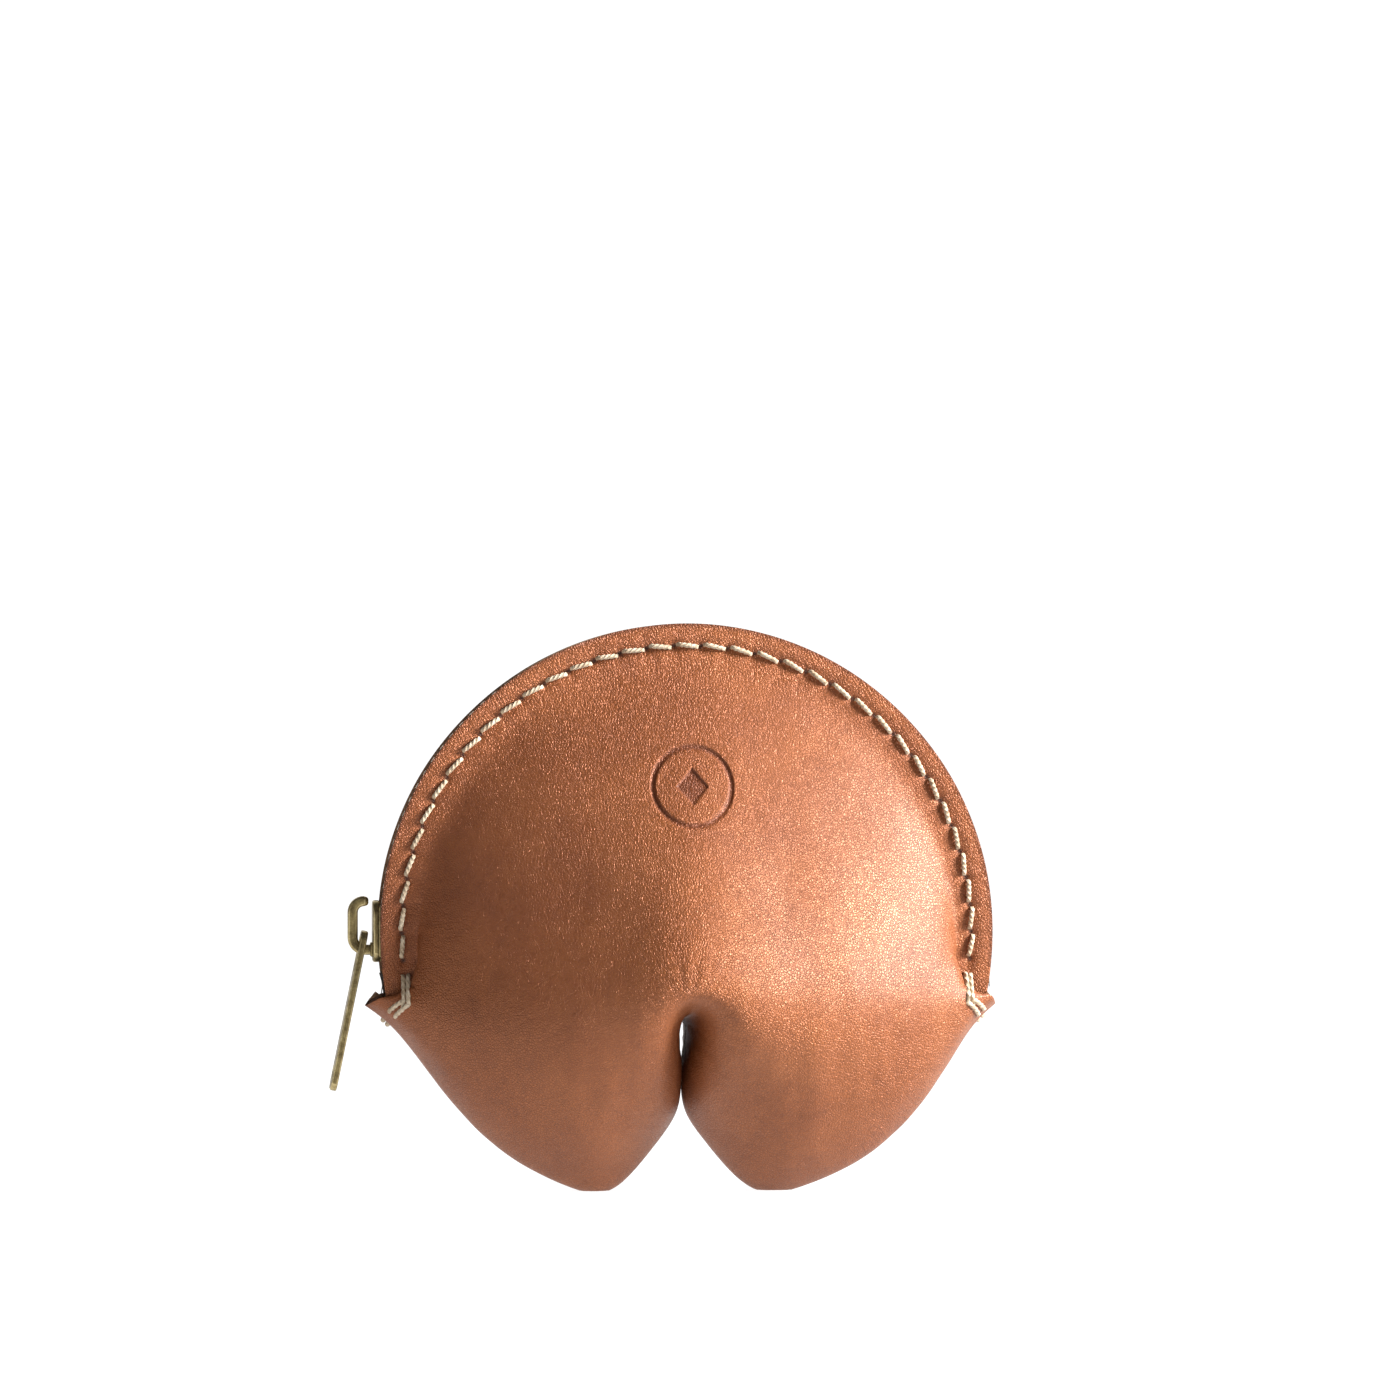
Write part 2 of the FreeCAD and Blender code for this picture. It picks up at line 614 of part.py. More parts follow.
def pull():
    """Flat brass pull with a slot that hooks over the bridge and a hole near its free end."""
    body = doc.addObject("PartDesign::Body", "pull_tab")
    pull_outline(body)
    slot = rectangle(body, "pull_slot_outline", "YZ_Plane", (
        "-Dimensions.pull_slot_wide / 2", "-Dimensions.pull_bar / 2 - Dimensions.pull_slot",
        "Dimensions.pull_slot_wide / 2", "-Dimensions.pull_bar / 2"))
    slotted = through_pocket(body, "pull_slot", slot)
    cornered = rounded_edges(body, "pull_corners", slotted, V(1, 0, 0), D["pull_corner"],
                             lambda at: abs(at.y) > 0.4 * D["pull_wide"])
    rounded_edges(body, "pull_crossbar", cornered, ALONG_Y, 0.99 * D["pull_bar"] / 2,
                  lambda at: abs(at.z) < D["pull_bar"])
    body.Tip = through_pocket(body, "pull_hole", hole_outline(body))
    return body


pull_tab = pull()
PIVOT = RIM_CENTRE + PARKED.multVec(V(-D["pivot_ahead"], 0, D["pivot_radius"]))
pull_tab.Placement = FreeCAD.Placement(PIVOT, FreeCAD.Rotation(ALONG_Y, D["pull_lean"]))
keep(pull_tab, "pull_tab")

# ------------------------------------------------------------------ check and write
doc.recompute()
for obj in doc.Objects:
    if "Invalid" in obj.State or "Error" in obj.State:
        raise RuntimeError(f"{obj.Label} did not build: {obj.State}")
os.makedirs("parts", exist_ok=True)
for obj in SUBPARTS:
    shape = obj.Shape
    if shape.isNull() or not shape.isValid():
        raise RuntimeError(f"{obj.Label} is not a valid shape")
    shape.exportStep(f"parts/{obj.Label}.step")
    print(obj.Label, len(shape.Solids), "solid(s)", round(shape.Volume, 1), "cubic mm")
print("pull pivot", PIVOT)
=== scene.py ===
# %% [markdown]
# # A zip pouch folded like a fortune cookie
# This lesson dresses a small copper leather coin pouch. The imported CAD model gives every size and
# place. Here each soft or shiny piece is modelled again with its real surface: grained leather,
# twisted thread, woven tape and worn brass.

# %% Load the frame
import math

import bmesh
import bpy
from mathutils import Matrix, Vector, noise


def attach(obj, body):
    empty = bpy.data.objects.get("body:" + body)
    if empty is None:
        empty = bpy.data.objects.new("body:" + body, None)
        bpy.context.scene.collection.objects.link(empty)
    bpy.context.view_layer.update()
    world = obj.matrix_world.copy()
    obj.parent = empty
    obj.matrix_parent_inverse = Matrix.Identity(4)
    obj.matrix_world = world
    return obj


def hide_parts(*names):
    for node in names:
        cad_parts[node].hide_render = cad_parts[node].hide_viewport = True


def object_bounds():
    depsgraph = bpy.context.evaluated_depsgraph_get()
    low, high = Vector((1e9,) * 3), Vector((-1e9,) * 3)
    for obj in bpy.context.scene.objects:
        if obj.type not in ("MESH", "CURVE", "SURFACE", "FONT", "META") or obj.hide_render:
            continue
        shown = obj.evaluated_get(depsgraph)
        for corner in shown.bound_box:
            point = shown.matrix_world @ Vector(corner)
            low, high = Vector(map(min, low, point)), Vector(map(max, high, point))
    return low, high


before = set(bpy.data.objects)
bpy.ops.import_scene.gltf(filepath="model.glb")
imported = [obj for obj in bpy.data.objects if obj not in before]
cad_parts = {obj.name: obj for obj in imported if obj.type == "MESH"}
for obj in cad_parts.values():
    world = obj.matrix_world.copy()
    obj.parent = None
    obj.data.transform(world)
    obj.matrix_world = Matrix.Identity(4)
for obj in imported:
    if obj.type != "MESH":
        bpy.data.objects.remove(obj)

MM = 0.001
CAD_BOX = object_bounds()
print("CAD box, mm:", [[round(c / MM, 1) for c in corner] for corner in CAD_BOX])

# %% [markdown]
# ## Helpers for working by hand
# Edit mode acts on what is selected, so everything is deselected before a new primitive. Each
# helper is one habit: start clean, select by a rule, apply a modifier, finish a piece.

# %% Small helpers
def start_clean():
    """Leave edit mode and deselect every object."""
    if bpy.context.object and bpy.context.object.mode != "OBJECT":
        bpy.ops.object.mode_set(mode="OBJECT")
    bpy.ops.object.select_all(action="DESELECT")


def pick(piece):
    """Make a piece the only one selected, and the active one."""
    start_clean()
    piece.select_set(True)
    bpy.context.view_layer.objects.active = piece


def active_piece(name):
    """Name the primitive that was just added."""
    piece = bpy.context.object
    piece.name = name
    piece.data.name = name
    return piece


def edit(piece):
    """Go into edit mode on one piece with nothing selected."""
    pick(piece)
    bpy.ops.object.mode_set(mode="EDIT")
    bpy.ops.mesh.select_all(action="DESELECT")


def select_faces(piece, chosen):
    """Select the faces whose middle and normal pass a test."""
    mesh = bmesh.from_edit_mesh(piece.data)
    for face in mesh.faces:
        face.select_set(chosen(face.calc_center_median(), face.normal))
    mesh.select_flush_mode()
    bmesh.update_edit_mesh(piece.data)


def select_edges(piece, chosen):
    """Select the edges whose middle and direction pass a test."""
    bpy.ops.mesh.select_mode(type="EDGE")
    mesh = bmesh.from_edit_mesh(piece.data)
    for edge in mesh.edges:
        first, last = (vertex.co for vertex in edge.verts)
        edge.select_set(chosen((first + last) / 2, (first - last).normalized()))
    bmesh.update_edit_mesh(piece.data)


def draw_out(*step):
    """Extrude the selected faces by a step along X, Y and Z."""
    bpy.ops.mesh.extrude_region_move(TRANSFORM_OT_translate={"value": step})


def weld():
    """Merge doubled points and turn every face outwards."""
    bpy.ops.mesh.select_all(action="SELECT")
    bpy.ops.mesh.remove_doubles(threshold=1e-6)
    bpy.ops.mesh.normals_make_consistent(inside=False)


def done_editing():
    """Back to object mode."""
    bpy.ops.object.mode_set(mode="OBJECT")


def round_edges_along(piece, axis, corner, segments):
    """Round the edges that run along one axis; corner in millimetres."""
    edit(piece)
    select_edges(piece, lambda _, along: abs(along[axis]) > 0.9)
    bpy.ops.mesh.bevel(offset=corner * MM, segments=segments, affect="EDGES")
    done_editing()


def use_modifier(piece, kind, **settings):
    """Add a modifier, set it and apply it."""
    bpy.context.view_layer.objects.active = piece
    modifier = piece.modifiers.new(kind.title(), kind)
    for key, value in settings.items():
        setattr(modifier, key, value)
    bpy.ops.object.modifier_apply(modifier=modifier.name)


def soften(piece, width, degrees, segments):
    """Bevel every edge sharper than an angle; width in millimetres."""
    use_modifier(piece, "BEVEL", width=width * MM, segments=segments, limit_method="ANGLE",
                 angle_limit=math.radians(degrees))


def smooth(piece, degrees=40):
    """Smooth shading that keeps real corners crisp."""
    pick(piece)
    bpy.ops.object.shade_smooth_by_angle(angle=math.radians(degrees))


def place_in_mesh(piece):
    """Put a piece's place into its mesh, so that its object sits at the origin."""
    piece.data.transform(piece.matrix_world)
    piece.matrix_world = Matrix.Identity(4)


def copy_piece(piece, name):
    """A copy with a mesh of its own."""
    twin = piece.copy()
    twin.data = piece.data.copy()
    twin.name = name
    bpy.context.collection.objects.link(twin)
    return twin


def join(pieces, name):
    """Join pieces into one object."""
    start_clean()
    for piece in pieces:
        piece.select_set(True)
    bpy.context.view_layer.objects.active = pieces[0]
    bpy.ops.object.join()
    return active_piece(name)


def throw_away(piece):
    """Delete a pattern or a tool that has done its work."""
    start_clean()
    piece.select_set(True)
    bpy.ops.object.delete()


def wear(piece, *materials):
    """Give a piece its materials, in slot order."""
    piece.data.materials.clear()
    for material in materials:
        piece.data.materials.append(material)


# %% [markdown]
# ## Camera
# The pouch is seen almost straight on, from a little to its left, with a long lens so that the
# round rim keeps its shape. The lens looks level, well above the pouch's middle.

# %% Camera
VIEW_AZIMUTH = math.radians(-5.0)
VIEW_DISTANCE = 1200 * MM
VIEW_HEIGHT = 83 * MM
VIEW_ASIDE = 2.6 * MM
VIEW_FIELD = 237.3 * MM
SENSOR = 36.0

camera_data = bpy.data.cameras.new("camera")
camera_data.sensor_width = SENSOR
camera_data.lens = SENSOR * VIEW_DISTANCE / VIEW_FIELD
camera_data.clip_end = 20
camera = bpy.data.objects.new("camera", camera_data)
bpy.context.collection.objects.link(camera)
aim = Vector((VIEW_ASIDE, 0, VIEW_HEIGHT))
back = Vector((math.sin(VIEW_AZIMUTH), -math.cos(VIEW_AZIMUTH), 0))
camera.location = aim + back * VIEW_DISTANCE
camera.rotation_euler = (-back).to_track_quat("-Z", "Y").to_euler()
bpy.context.scene.camera = camera

# %% [markdown]
# ## Floor and light
# A white sweep: a floor and a wall far behind it, and both glow, as lit paper does. One strong
# soft light stands high on the right, with a weak one on the left and another above. The glow
# of the floor fills the underside of the two lobes.

# %% Floor and light
SHEET_SIZE = 12
LIGHT_SIZE = 0.5
LIT_POINT = Vector((0, 0, 0.05))


def material(name):
    """A new node material with its shader."""
    made = bpy.data.materials.new(name)
    made.use_nodes = True
    return made, made.node_tree, made.node_tree.nodes["Principled BSDF"]


def set_inputs(node, **values):
    """Set a node's inputs by name; spaces are written as underscores."""
    for key, value in values.items():
        node.inputs[key.replace("_", " ")].default_value = value


def soft_light(name, place, watts):
    """A square area light that looks at the pouch."""
    data = bpy.data.lights.new(name, "AREA")
    data.size = LIGHT_SIZE
    data.energy = watts
    light = bpy.data.objects.new(name, data)
    bpy.context.collection.objects.link(light)
    light.location = place
    light.rotation_euler = (Vector(place) - LIT_POINT).to_track_quat("Z", "Y").to_euler()


def white_sheet(name, place, turn, glow):
    """A glowing white plane that isn't part of the object."""
    start_clean()
    bpy.ops.mesh.primitive_plane_add(size=SHEET_SIZE, location=place, rotation=turn)
    sheet = active_piece(name)
    made, _, shader = material(name)
    set_inputs(shader, Base_Color=(0.15, 0.15, 0.15, 1), Roughness=0.8, Specular_IOR_Level=0.2,
               Emission_Color=(1, 1, 1, 1), Emission_Strength=glow)
    sheet.data.materials.append(made)


white_sheet("floor", place=(0, 0, CAD_BOX[0].z), turn=(0, 0, 0), glow=0.94)
white_sheet("white_wall", place=(0, 5, 2), turn=(math.pi / 2, 0, 0), glow=1.0)
soft_light("key_light", place=(1.22, -0.42, 0.60), watts=70)
soft_light("left_light", place=(-0.9, -0.7, 0.12), watts=0.9)
soft_light("top_light", place=(0.60, -0.25, 1.20), watts=1.5)

world = bpy.data.worlds.new("studio")
bpy.context.scene.world = world
world.use_nodes = True
set_inputs(world.node_tree.nodes["Background"], Color=(1, 1, 1, 1), Strength=0.05)
bpy.context.scene.view_settings.view_transform = "Standard"
print("lights:", sorted(light.name for light in bpy.data.lights))

# %% [markdown]
# ## Materials
# Every pattern reads Object coordinates, in metres, so one unit of noise scale is one cell per
# metre: pebble grain of half a millimetre needs a scale of about two thousand.

# %% Node helpers
WHITE = (1, 1, 1)


def put(tree, kind, **values):
    """Add a node and set its properties and inputs by name; spaces are written as underscores."""
    made = tree.nodes.new(kind)
    for key, value in values.items():
        label = key.replace("_", " ")
        if label in made.inputs:
            made.inputs[label].default_value = value
        else:
            setattr(made, key, value)
    return made


def object_place(tree):
    """Object coordinates, in metres."""
    return tree.nodes.new("ShaderNodeTexCoord").outputs["Object"]


def noise_at(tree, place, **values):
    """Noise texture that reads a place."""
    made = put(tree, "ShaderNodeTexNoise", **values)
    tree.links.new(place, made.inputs["Vector"])
    return made


def ramp(tree, source, *stops):
    """Colour ramp; stops are (position, colour) pairs."""
    made = tree.nodes.new("ShaderNodeValToRGB")
    elements = made.color_ramp.elements
    while len(elements) < len(stops):
        elements.new(0.5)
    for element, (position, colour) in zip(elements, stops):
        element.position = position
        element.color = (*colour, 1)
    tree.links.new(source, made.inputs["Fac"])
    return made.outputs["Color"]


def math_node(tree, operation, first, second=0.0):
    """One Math node; numbers or sockets go in."""
    made = put(tree, "ShaderNodeMath", operation=operation)
    for slot, value in enumerate((first, second)):
        if isinstance(value, (int, float)):
            made.inputs[slot].default_value = value
        else:
            tree.links.new(value, made.inputs[slot])
    return made.outputs["Value"]


def gap(tree, first, second):
    """How far apart two numbers are."""
    return math_node(tree, "ABSOLUTE", math_node(tree, "SUBTRACT", first, second))


def darkened(tree, amount, first, second):
    """Multiply two colours; the amount, and either colour, may be a socket."""
    made = put(tree, "ShaderNodeMix", data_type="RGBA", blend_type="MULTIPLY")
    for slot, value in ((0, amount), (6, first), (7, second)):
        if isinstance(value, (int, float)):
            made.inputs[slot].default_value = value
        elif isinstance(value, tuple):
            made.inputs[slot].default_value = (*value, 1)
        else:
            tree.links.new(value, made.inputs[slot])
    return made.outputs[2]


def bump(tree, height, distance, strength=1.0, below=None):
    """Bump node; below is the normal of a coarser bump."""
    made = put(tree, "ShaderNodeBump", Strength=strength, Distance=distance)
    tree.links.new(height, made.inputs["Height"])
    if below:
        tree.links.new(below, made.inputs["Normal"])
    return made.outputs["Normal"]


# %% [markdown]
# ### Places round the rim
# The stitch line, its needle holes and the puckers of the rim all follow one circle, so a few
# nodes turn a place on the leather into a radius and an arc length along that circle.

# %% Rim coordinates
RIM_Z = 44 * MM
STITCH_RADIUS = 48.2 * MM
STITCH_PITCH = 4.6 * MM
EMBLEM_Z = 68.5 * MM
EMBLEM_RADIUS = 6.6 * MM
EMBLEM_LINE = 1.0 * MM
DIAMOND_HALF = 3.2 * MM
DIAMOND_SLIM = 1.15


def distance_from(tree, across, up):
    """Length of a two-number vector."""
    squares = math_node(tree, "ADD", math_node(tree, "POWER", across, 2.0),
                        math_node(tree, "POWER", up, 2.0))
    return math_node(tree, "SQRT", squares)


def rim_coordinates(tree, place):
    """X, Y, height above the rim's centre, radius, and arc length along the stitch line."""
    parts = put(tree, "ShaderNodeSeparateXYZ")
    tree.links.new(place, parts.inputs["Vector"])
    across = parts.outputs["X"]
    up = math_node(tree, "SUBTRACT", parts.outputs["Z"], RIM_Z)
    radius = distance_from(tree, math_node(tree, "ADD", across, 1e-7), up)
    arc = math_node(tree, "MULTIPLY", math_node(tree, "ARCTAN2", across, up), STITCH_RADIUS)
    return across, parts.outputs["Y"], up, radius, arc


def near(tree, distance, reach):
    """1 where a distance is nothing, falling to 0 at reach."""
    made = put(tree, "ShaderNodeMapRange", interpolation_type="SMOOTHSTEP", From_Min=0.0,
               From_Max=reach, To_Min=1.0, To_Max=0.0)
    tree.links.new(distance, made.inputs["Value"])
    return made.outputs["Result"]


def needle_holes(tree, radius, arc, reach):
    """1 at each needle hole, half a pitch from the middle of each stitch."""
    along = math_node(tree, "PINGPONG", math_node(tree, "ADD", arc, STITCH_PITCH / 2),
                      STITCH_PITCH / 2)
    off_line = math_node(tree, "SUBTRACT", radius, STITCH_RADIUS)
    return near(tree, distance_from(tree, along, off_line), reach)


# %% [markdown]
# ### Copper leather
# The hide has a copper dye and a pearl finish, so it is partly metallic. Four scales of detail
# show: cloudy colour, soft creases some millimetres long, a fine pebble grain, and specks. Shade
# is painted into the creases, the valleys of the grain, the needle holes and the stamp. Handling
# has darkened the cut rim.

# %% Copper leather
STITCHED_ARC = 81.5 * MM
CUT_RADIUS = 52.2 * MM
PUCKER_RADIUS = 48.6 * MM
# Tint of the darker specks, and of the shade painted into the creases.
SPECK_DYE_AND_PAINTED_SHADE = (0.45, 0.38, 0.34)


def pebble_grain(tree, hide):
    """0 in the valleys between the pebbles of the grain and 1 on top of them."""
    wobble = noise_at(tree, hide, Scale=700.0, Detail=2.0)
    shifted = put(tree, "ShaderNodeVectorMath", operation="MULTIPLY_ADD")
    tree.links.new(wobble.outputs["Color"], shifted.inputs[0])
    shifted.inputs[1].default_value = (0.0003, 0.0003, 0.0003)
    tree.links.new(hide, shifted.inputs[2])
    pebble = put(tree, "ShaderNodeTexVoronoi", feature="DISTANCE_TO_EDGE", Scale=2300.0)
    tree.links.new(shifted.outputs["Vector"], pebble.inputs["Vector"])
    return ramp(tree, pebble.outputs["Distance"], (0.0, (0, 0, 0)), (0.2, WHITE))


def dyed_with_painted_shade(tree, hide, valley, crease):
    """Cloudy copper with darker specks, and painted shade in the creases and in the valleys of the
    grain.
    """
    cloud = noise_at(tree, hide, Scale=42.0, Detail=6.0, Roughness=0.62).outputs["Fac"]
    speck = noise_at(tree, hide, Scale=900.0, Detail=4.0, Roughness=0.75).outputs["Fac"]
    tone = ramp(tree, cloud, (0.3, (0.268, 0.074, 0.019)), (0.5, (0.315, 0.092, 0.024)),
                (0.7, (0.362, 0.112, 0.031)))
    # Painted shade: the low parts of the crease bump are darkened.
    crease_shaded = darkened(tree, 0.22, tone,
                    ramp(tree, crease, (0.32, SPECK_DYE_AND_PAINTED_SHADE), (0.52, WHITE)))
    specked = darkened(tree, 0.16, crease_shaded,
                    ramp(tree, speck, (0.36, SPECK_DYE_AND_PAINTED_SHADE), (0.5, WHITE)))
    # Painted shade: the valleys of the pebble grain are darkened.
    return darkened(tree, 0.4, specked,
                 ramp(tree, valley, (0.0, (0.5, 0.4, 0.35)), (1.0, WHITE)))


def stamp_mask(tree, across, depth, up):
    """1 on the ring and the diamond of the stamp, on the front only."""
    emblem_up = math_node(tree, "SUBTRACT", up, EMBLEM_Z - RIM_Z)
    ring = gap(tree, distance_from(tree, across, emblem_up), EMBLEM_RADIUS)
    corner = math_node(tree, "ADD", math_node(tree, "MULTIPLY", math_node(
        tree, "ABSOLUTE", across), DIAMOND_SLIM), math_node(tree, "ABSOLUTE", emblem_up))
    inside = near(tree, math_node(tree, "SUBTRACT", corner, DIAMOND_HALF - 0.5 * MM), 0.7 * MM)
    front_only = math_node(tree, "LESS_THAN", depth, 0.0)
    return math_node(tree, "MULTIPLY", front_only,
                     math_node(tree, "MAXIMUM", inside, near(tree, ring, 0.75 * MM)))


def worn_and_shaded(tree, colour, place):
    """Paint shade into the needle holes and the stamp, and darken the cut rim where it is worn."""
    across, depth, up, radius, arc = rim_coordinates(tree, place)
    on_rim_only = math_node(tree, "LESS_THAN", math_node(tree, "ABSOLUTE", arc), STITCHED_ARC)
    # Painted shade: the needle holes are darkened.
    holes = math_node(tree, "MULTIPLY", needle_holes(tree, radius, arc, 0.75 * MM), on_rim_only)
    hole_shaded = darkened(tree, holes, colour, (0.16, 0.12, 0.10))
    worn_rim = math_node(tree, "MULTIPLY", near(tree, gap(tree, radius, CUT_RADIUS), 1.3 * MM),
                         on_rim_only)
    rubbed_rim = darkened(tree, worn_rim, hole_shaded, (0.42, 0.36, 0.33))
    # Painted shade: the ring and the diamond of the stamp are darkened.
    return darkened(tree, stamp_mask(tree, across, depth, up), rubbed_rim,
                 (0.60, 0.52, 0.48))


def rim_puckers(tree, place):
    """Short creases across the rim, strongest on the stitch line."""
    _, _, _, radius, arc = rim_coordinates(tree, place)
    polar = put(tree, "ShaderNodeCombineXYZ")
    tree.links.new(arc, polar.inputs["X"])
    tree.links.new(math_node(tree, "MULTIPLY", radius, 0.22), polar.inputs["Y"])
    pucker = noise_at(tree, polar.outputs["Vector"], Scale=1150.0, Detail=3.0, Roughness=0.6)
    band = near(tree, gap(tree, radius, PUCKER_RADIUS), 4.2 * MM)
    return math_node(tree, "MULTIPLY", pucker.outputs["Fac"], band)


def copper_leather():
    """Pearlescent grained leather."""
    made, tree, shader = material("copper_leather")
    place = object_place(tree)
    turned = put(tree, "ShaderNodeMapping", Rotation=(0.6, 0.4, 0.9))
    tree.links.new(place, turned.inputs["Vector"])
    hide = turned.outputs["Vector"]
    valley = pebble_grain(tree, hide)
    crease = noise_at(tree, hide, Scale=150.0, Detail=8.0, Roughness=0.7,
                      Distortion=0.9).outputs["Fac"]
    fine = noise_at(tree, hide, Scale=4200.0, Detail=3.0).outputs["Fac"]
    tree.links.new(worn_and_shaded(tree, dyed_with_painted_shade(tree, hide, valley, crease), place),
                   shader.inputs["Base Color"])

    rough = put(tree, "ShaderNodeMapRange", To_Min=0.52, To_Max=0.38)
    tree.links.new(valley, rough.inputs["Value"])
    tree.links.new(rough.outputs["Result"], shader.inputs["Roughness"])
    set_inputs(shader, Metallic=0.35, Coat_Weight=0.22, Coat_Roughness=0.42)

    soft = bump(tree, crease, 0.0006, 0.5)
    rim_creases = bump(tree, rim_puckers(tree, place), 0.0004, 0.6, soft)
    grain = bump(tree, valley, 0.00009, 0.85, rim_creases)
    tree.links.new(bump(tree, fine, 0.00007, 0.7, grain), shader.inputs["Normal"])
    return made


LEATHER = copper_leather()


# %% [markdown]
# ### Cut edge and flesh side
# Where the hide was cut, its fibres show: dark brown and matt, with strands. The flesh side
# inside the pouch is the same fibre, paler and suede-like.

# %% Cut edge and flesh side
def fibre(name, dark, light, scale):
    """Matt leather fibre between two browns."""
    made, tree, shader = material(name)
    strands = noise_at(tree, object_place(tree), Scale=scale, Detail=6.0, Roughness=0.7)
    colour = ramp(tree, strands.outputs["Fac"], (0.35, dark), (0.65, light))
    tree.links.new(colour, shader.inputs["Base Color"])
    set_inputs(shader, Roughness=0.85, Specular_IOR_Level=0.2)
    tree.links.new(bump(tree, strands.outputs["Fac"], 0.0003, 0.8), shader.inputs["Normal"])
    return made


CUT_EDGE = fibre("cut_leather_edge", (0.05, 0.018, 0.010), (0.17, 0.07, 0.035), 2200.0)
FLESH = fibre("flesh_side", (0.22, 0.12, 0.07), (0.34, 0.20, 0.12), 900.0)

# %% [markdown]
# ### Thread, tape and brass
# The thread is waxed linen: cream, matt, with its fibres running round the twist. The tape is
# grey woven cotton. The brass is old: brown in its hollows, with a yellow shine where it is
# rubbed, so rubbed edges get a second, brighter finish.

# %% Thread, tape and brass
def waxed_thread():
    """Cream thread, a little dirty."""
    made, tree, shader = material("cream_thread")
    place = object_place(tree)
    dirt = noise_at(tree, place, Scale=600.0, Detail=4.0, Roughness=0.7)
    fibre_noise = noise_at(tree, place, Scale=5200.0, Detail=3.0)
    tone = ramp(tree, dirt.outputs["Fac"], (0.32, (0.36, 0.25, 0.15)), (0.5, (0.58, 0.46, 0.32)),
                (0.68, (0.70, 0.60, 0.46)))
    colour = darkened(tree, 0.5, tone, ramp(tree, fibre_noise.outputs["Fac"],
                                            (0.35, (0.6, 0.55, 0.48)), (0.6, WHITE)))
    tree.links.new(colour, shader.inputs["Base Color"])
    set_inputs(shader, Roughness=0.7, Sheen_Weight=0.25, Sheen_Roughness=0.4)
    tree.links.new(bump(tree, fibre_noise.outputs["Fac"], 0.00008, 0.7), shader.inputs["Normal"])
    return made


def woven_tape():
    """Grey herringbone-like weave, one rib every 0.7 mm."""
    made, tree, shader = material("grey_tape")
    place = object_place(tree)
    _, _, _, radius, arc = rim_coordinates(tree, place)
    rib = math_node(tree, "PINGPONG", math_node(tree, "ADD", arc, radius), 0.35 * MM)
    yarn = math_node(tree, "PINGPONG", math_node(tree, "SUBTRACT", arc, radius), 0.2 * MM)
    height = math_node(tree, "ADD", math_node(tree, "MULTIPLY", rib, 1800.0),
                       math_node(tree, "MULTIPLY", yarn, 1500.0))
    wear_noise = noise_at(tree, place, Scale=500.0, Detail=5.0)
    tone = ramp(tree, wear_noise.outputs["Fac"], (0.35, (0.055, 0.050, 0.046)),
                (0.65, (0.16, 0.148, 0.136)))
    # Painted shade: the hollows of the weave are darkened.
    colour = darkened(tree, 0.6, tone,
                   ramp(tree, height, (0.0, (0.4, 0.4, 0.4)), (0.7, WHITE)))
    tree.links.new(colour, shader.inputs["Base Color"])
    set_inputs(shader, Roughness=0.9, Sheen_Weight=0.2)
    tree.links.new(bump(tree, height, 0.00015, 0.8), shader.inputs["Normal"])
    return made


def old_brass(name, dark, bright, roughness):
    """Brass with a patchy brown skin over brighter metal."""
    made, tree, shader = material(name)
    place = object_place(tree)
    patch = noise_at(tree, place, Scale=330.0, Detail=7.0, Roughness=0.72)
    scratch = noise_at(tree, place, Scale=2600.0, Detail=4.0, Distortion=1.5)
    tone = ramp(tree, patch.outputs["Fac"], (0.38, dark), (0.62, bright))
    colour = darkened(tree, 0.4, tone, ramp(tree, scratch.outputs["Fac"],
                                            (0.4, (0.55, 0.5, 0.45)), (0.6, WHITE)))
    tree.links.new(colour, shader.inputs["Base Color"])
    set_inputs(shader, Metallic=0.9)
    rough = put(tree, "ShaderNodeMapRange", To_Min=roughness + 0.18, To_Max=roughness)
    tree.links.new(patch.outputs["Fac"], rough.inputs["Value"])
    tree.links.new(rough.outputs["Result"], shader.inputs["Roughness"])
    tree.links.new(bump(tree, scratch.outputs["Fac"], 0.00006, 0.5), shader.inputs["Normal"])
    return made


THREAD = waxed_thread()
TAPE = woven_tape()
DARK_BRASS = old_brass("dark_brass", (0.13, 0.095, 0.045), (0.42, 0.33, 0.15), 0.36)
RUBBED_BRASS = old_brass("rubbed_brass", (0.34, 0.26, 0.12), (0.72, 0.60, 0.32), 0.26)
TOOTH_BRASS = old_brass("tooth_brass", (0.16, 0.10, 0.05), (0.55, 0.40, 0.20), 0.30)
print("materials:", sorted(m.name for m in bpy.data.materials))

# %% [markdown]
# ## Leather panels
# A turned pouch is two panels sewn face to face along the seam and then pulled right side out.
# Sculpting it freely would lose the even rim, so each panel is a grid whose columns run from the
# seam, over the belly, to the rim. The grid is a control cage: subdivision turns it into the
# same smooth surface that the CAD panel has.

# %% Panel cage
RIM_HALF = 5.7 * MM
RIM_BAND = (45.5, 49, 52)
SEAM_ALLOWANCE = 3
NOSE_DEPTH = 30 * MM
LEATHER_THICK = 1.4 * MM
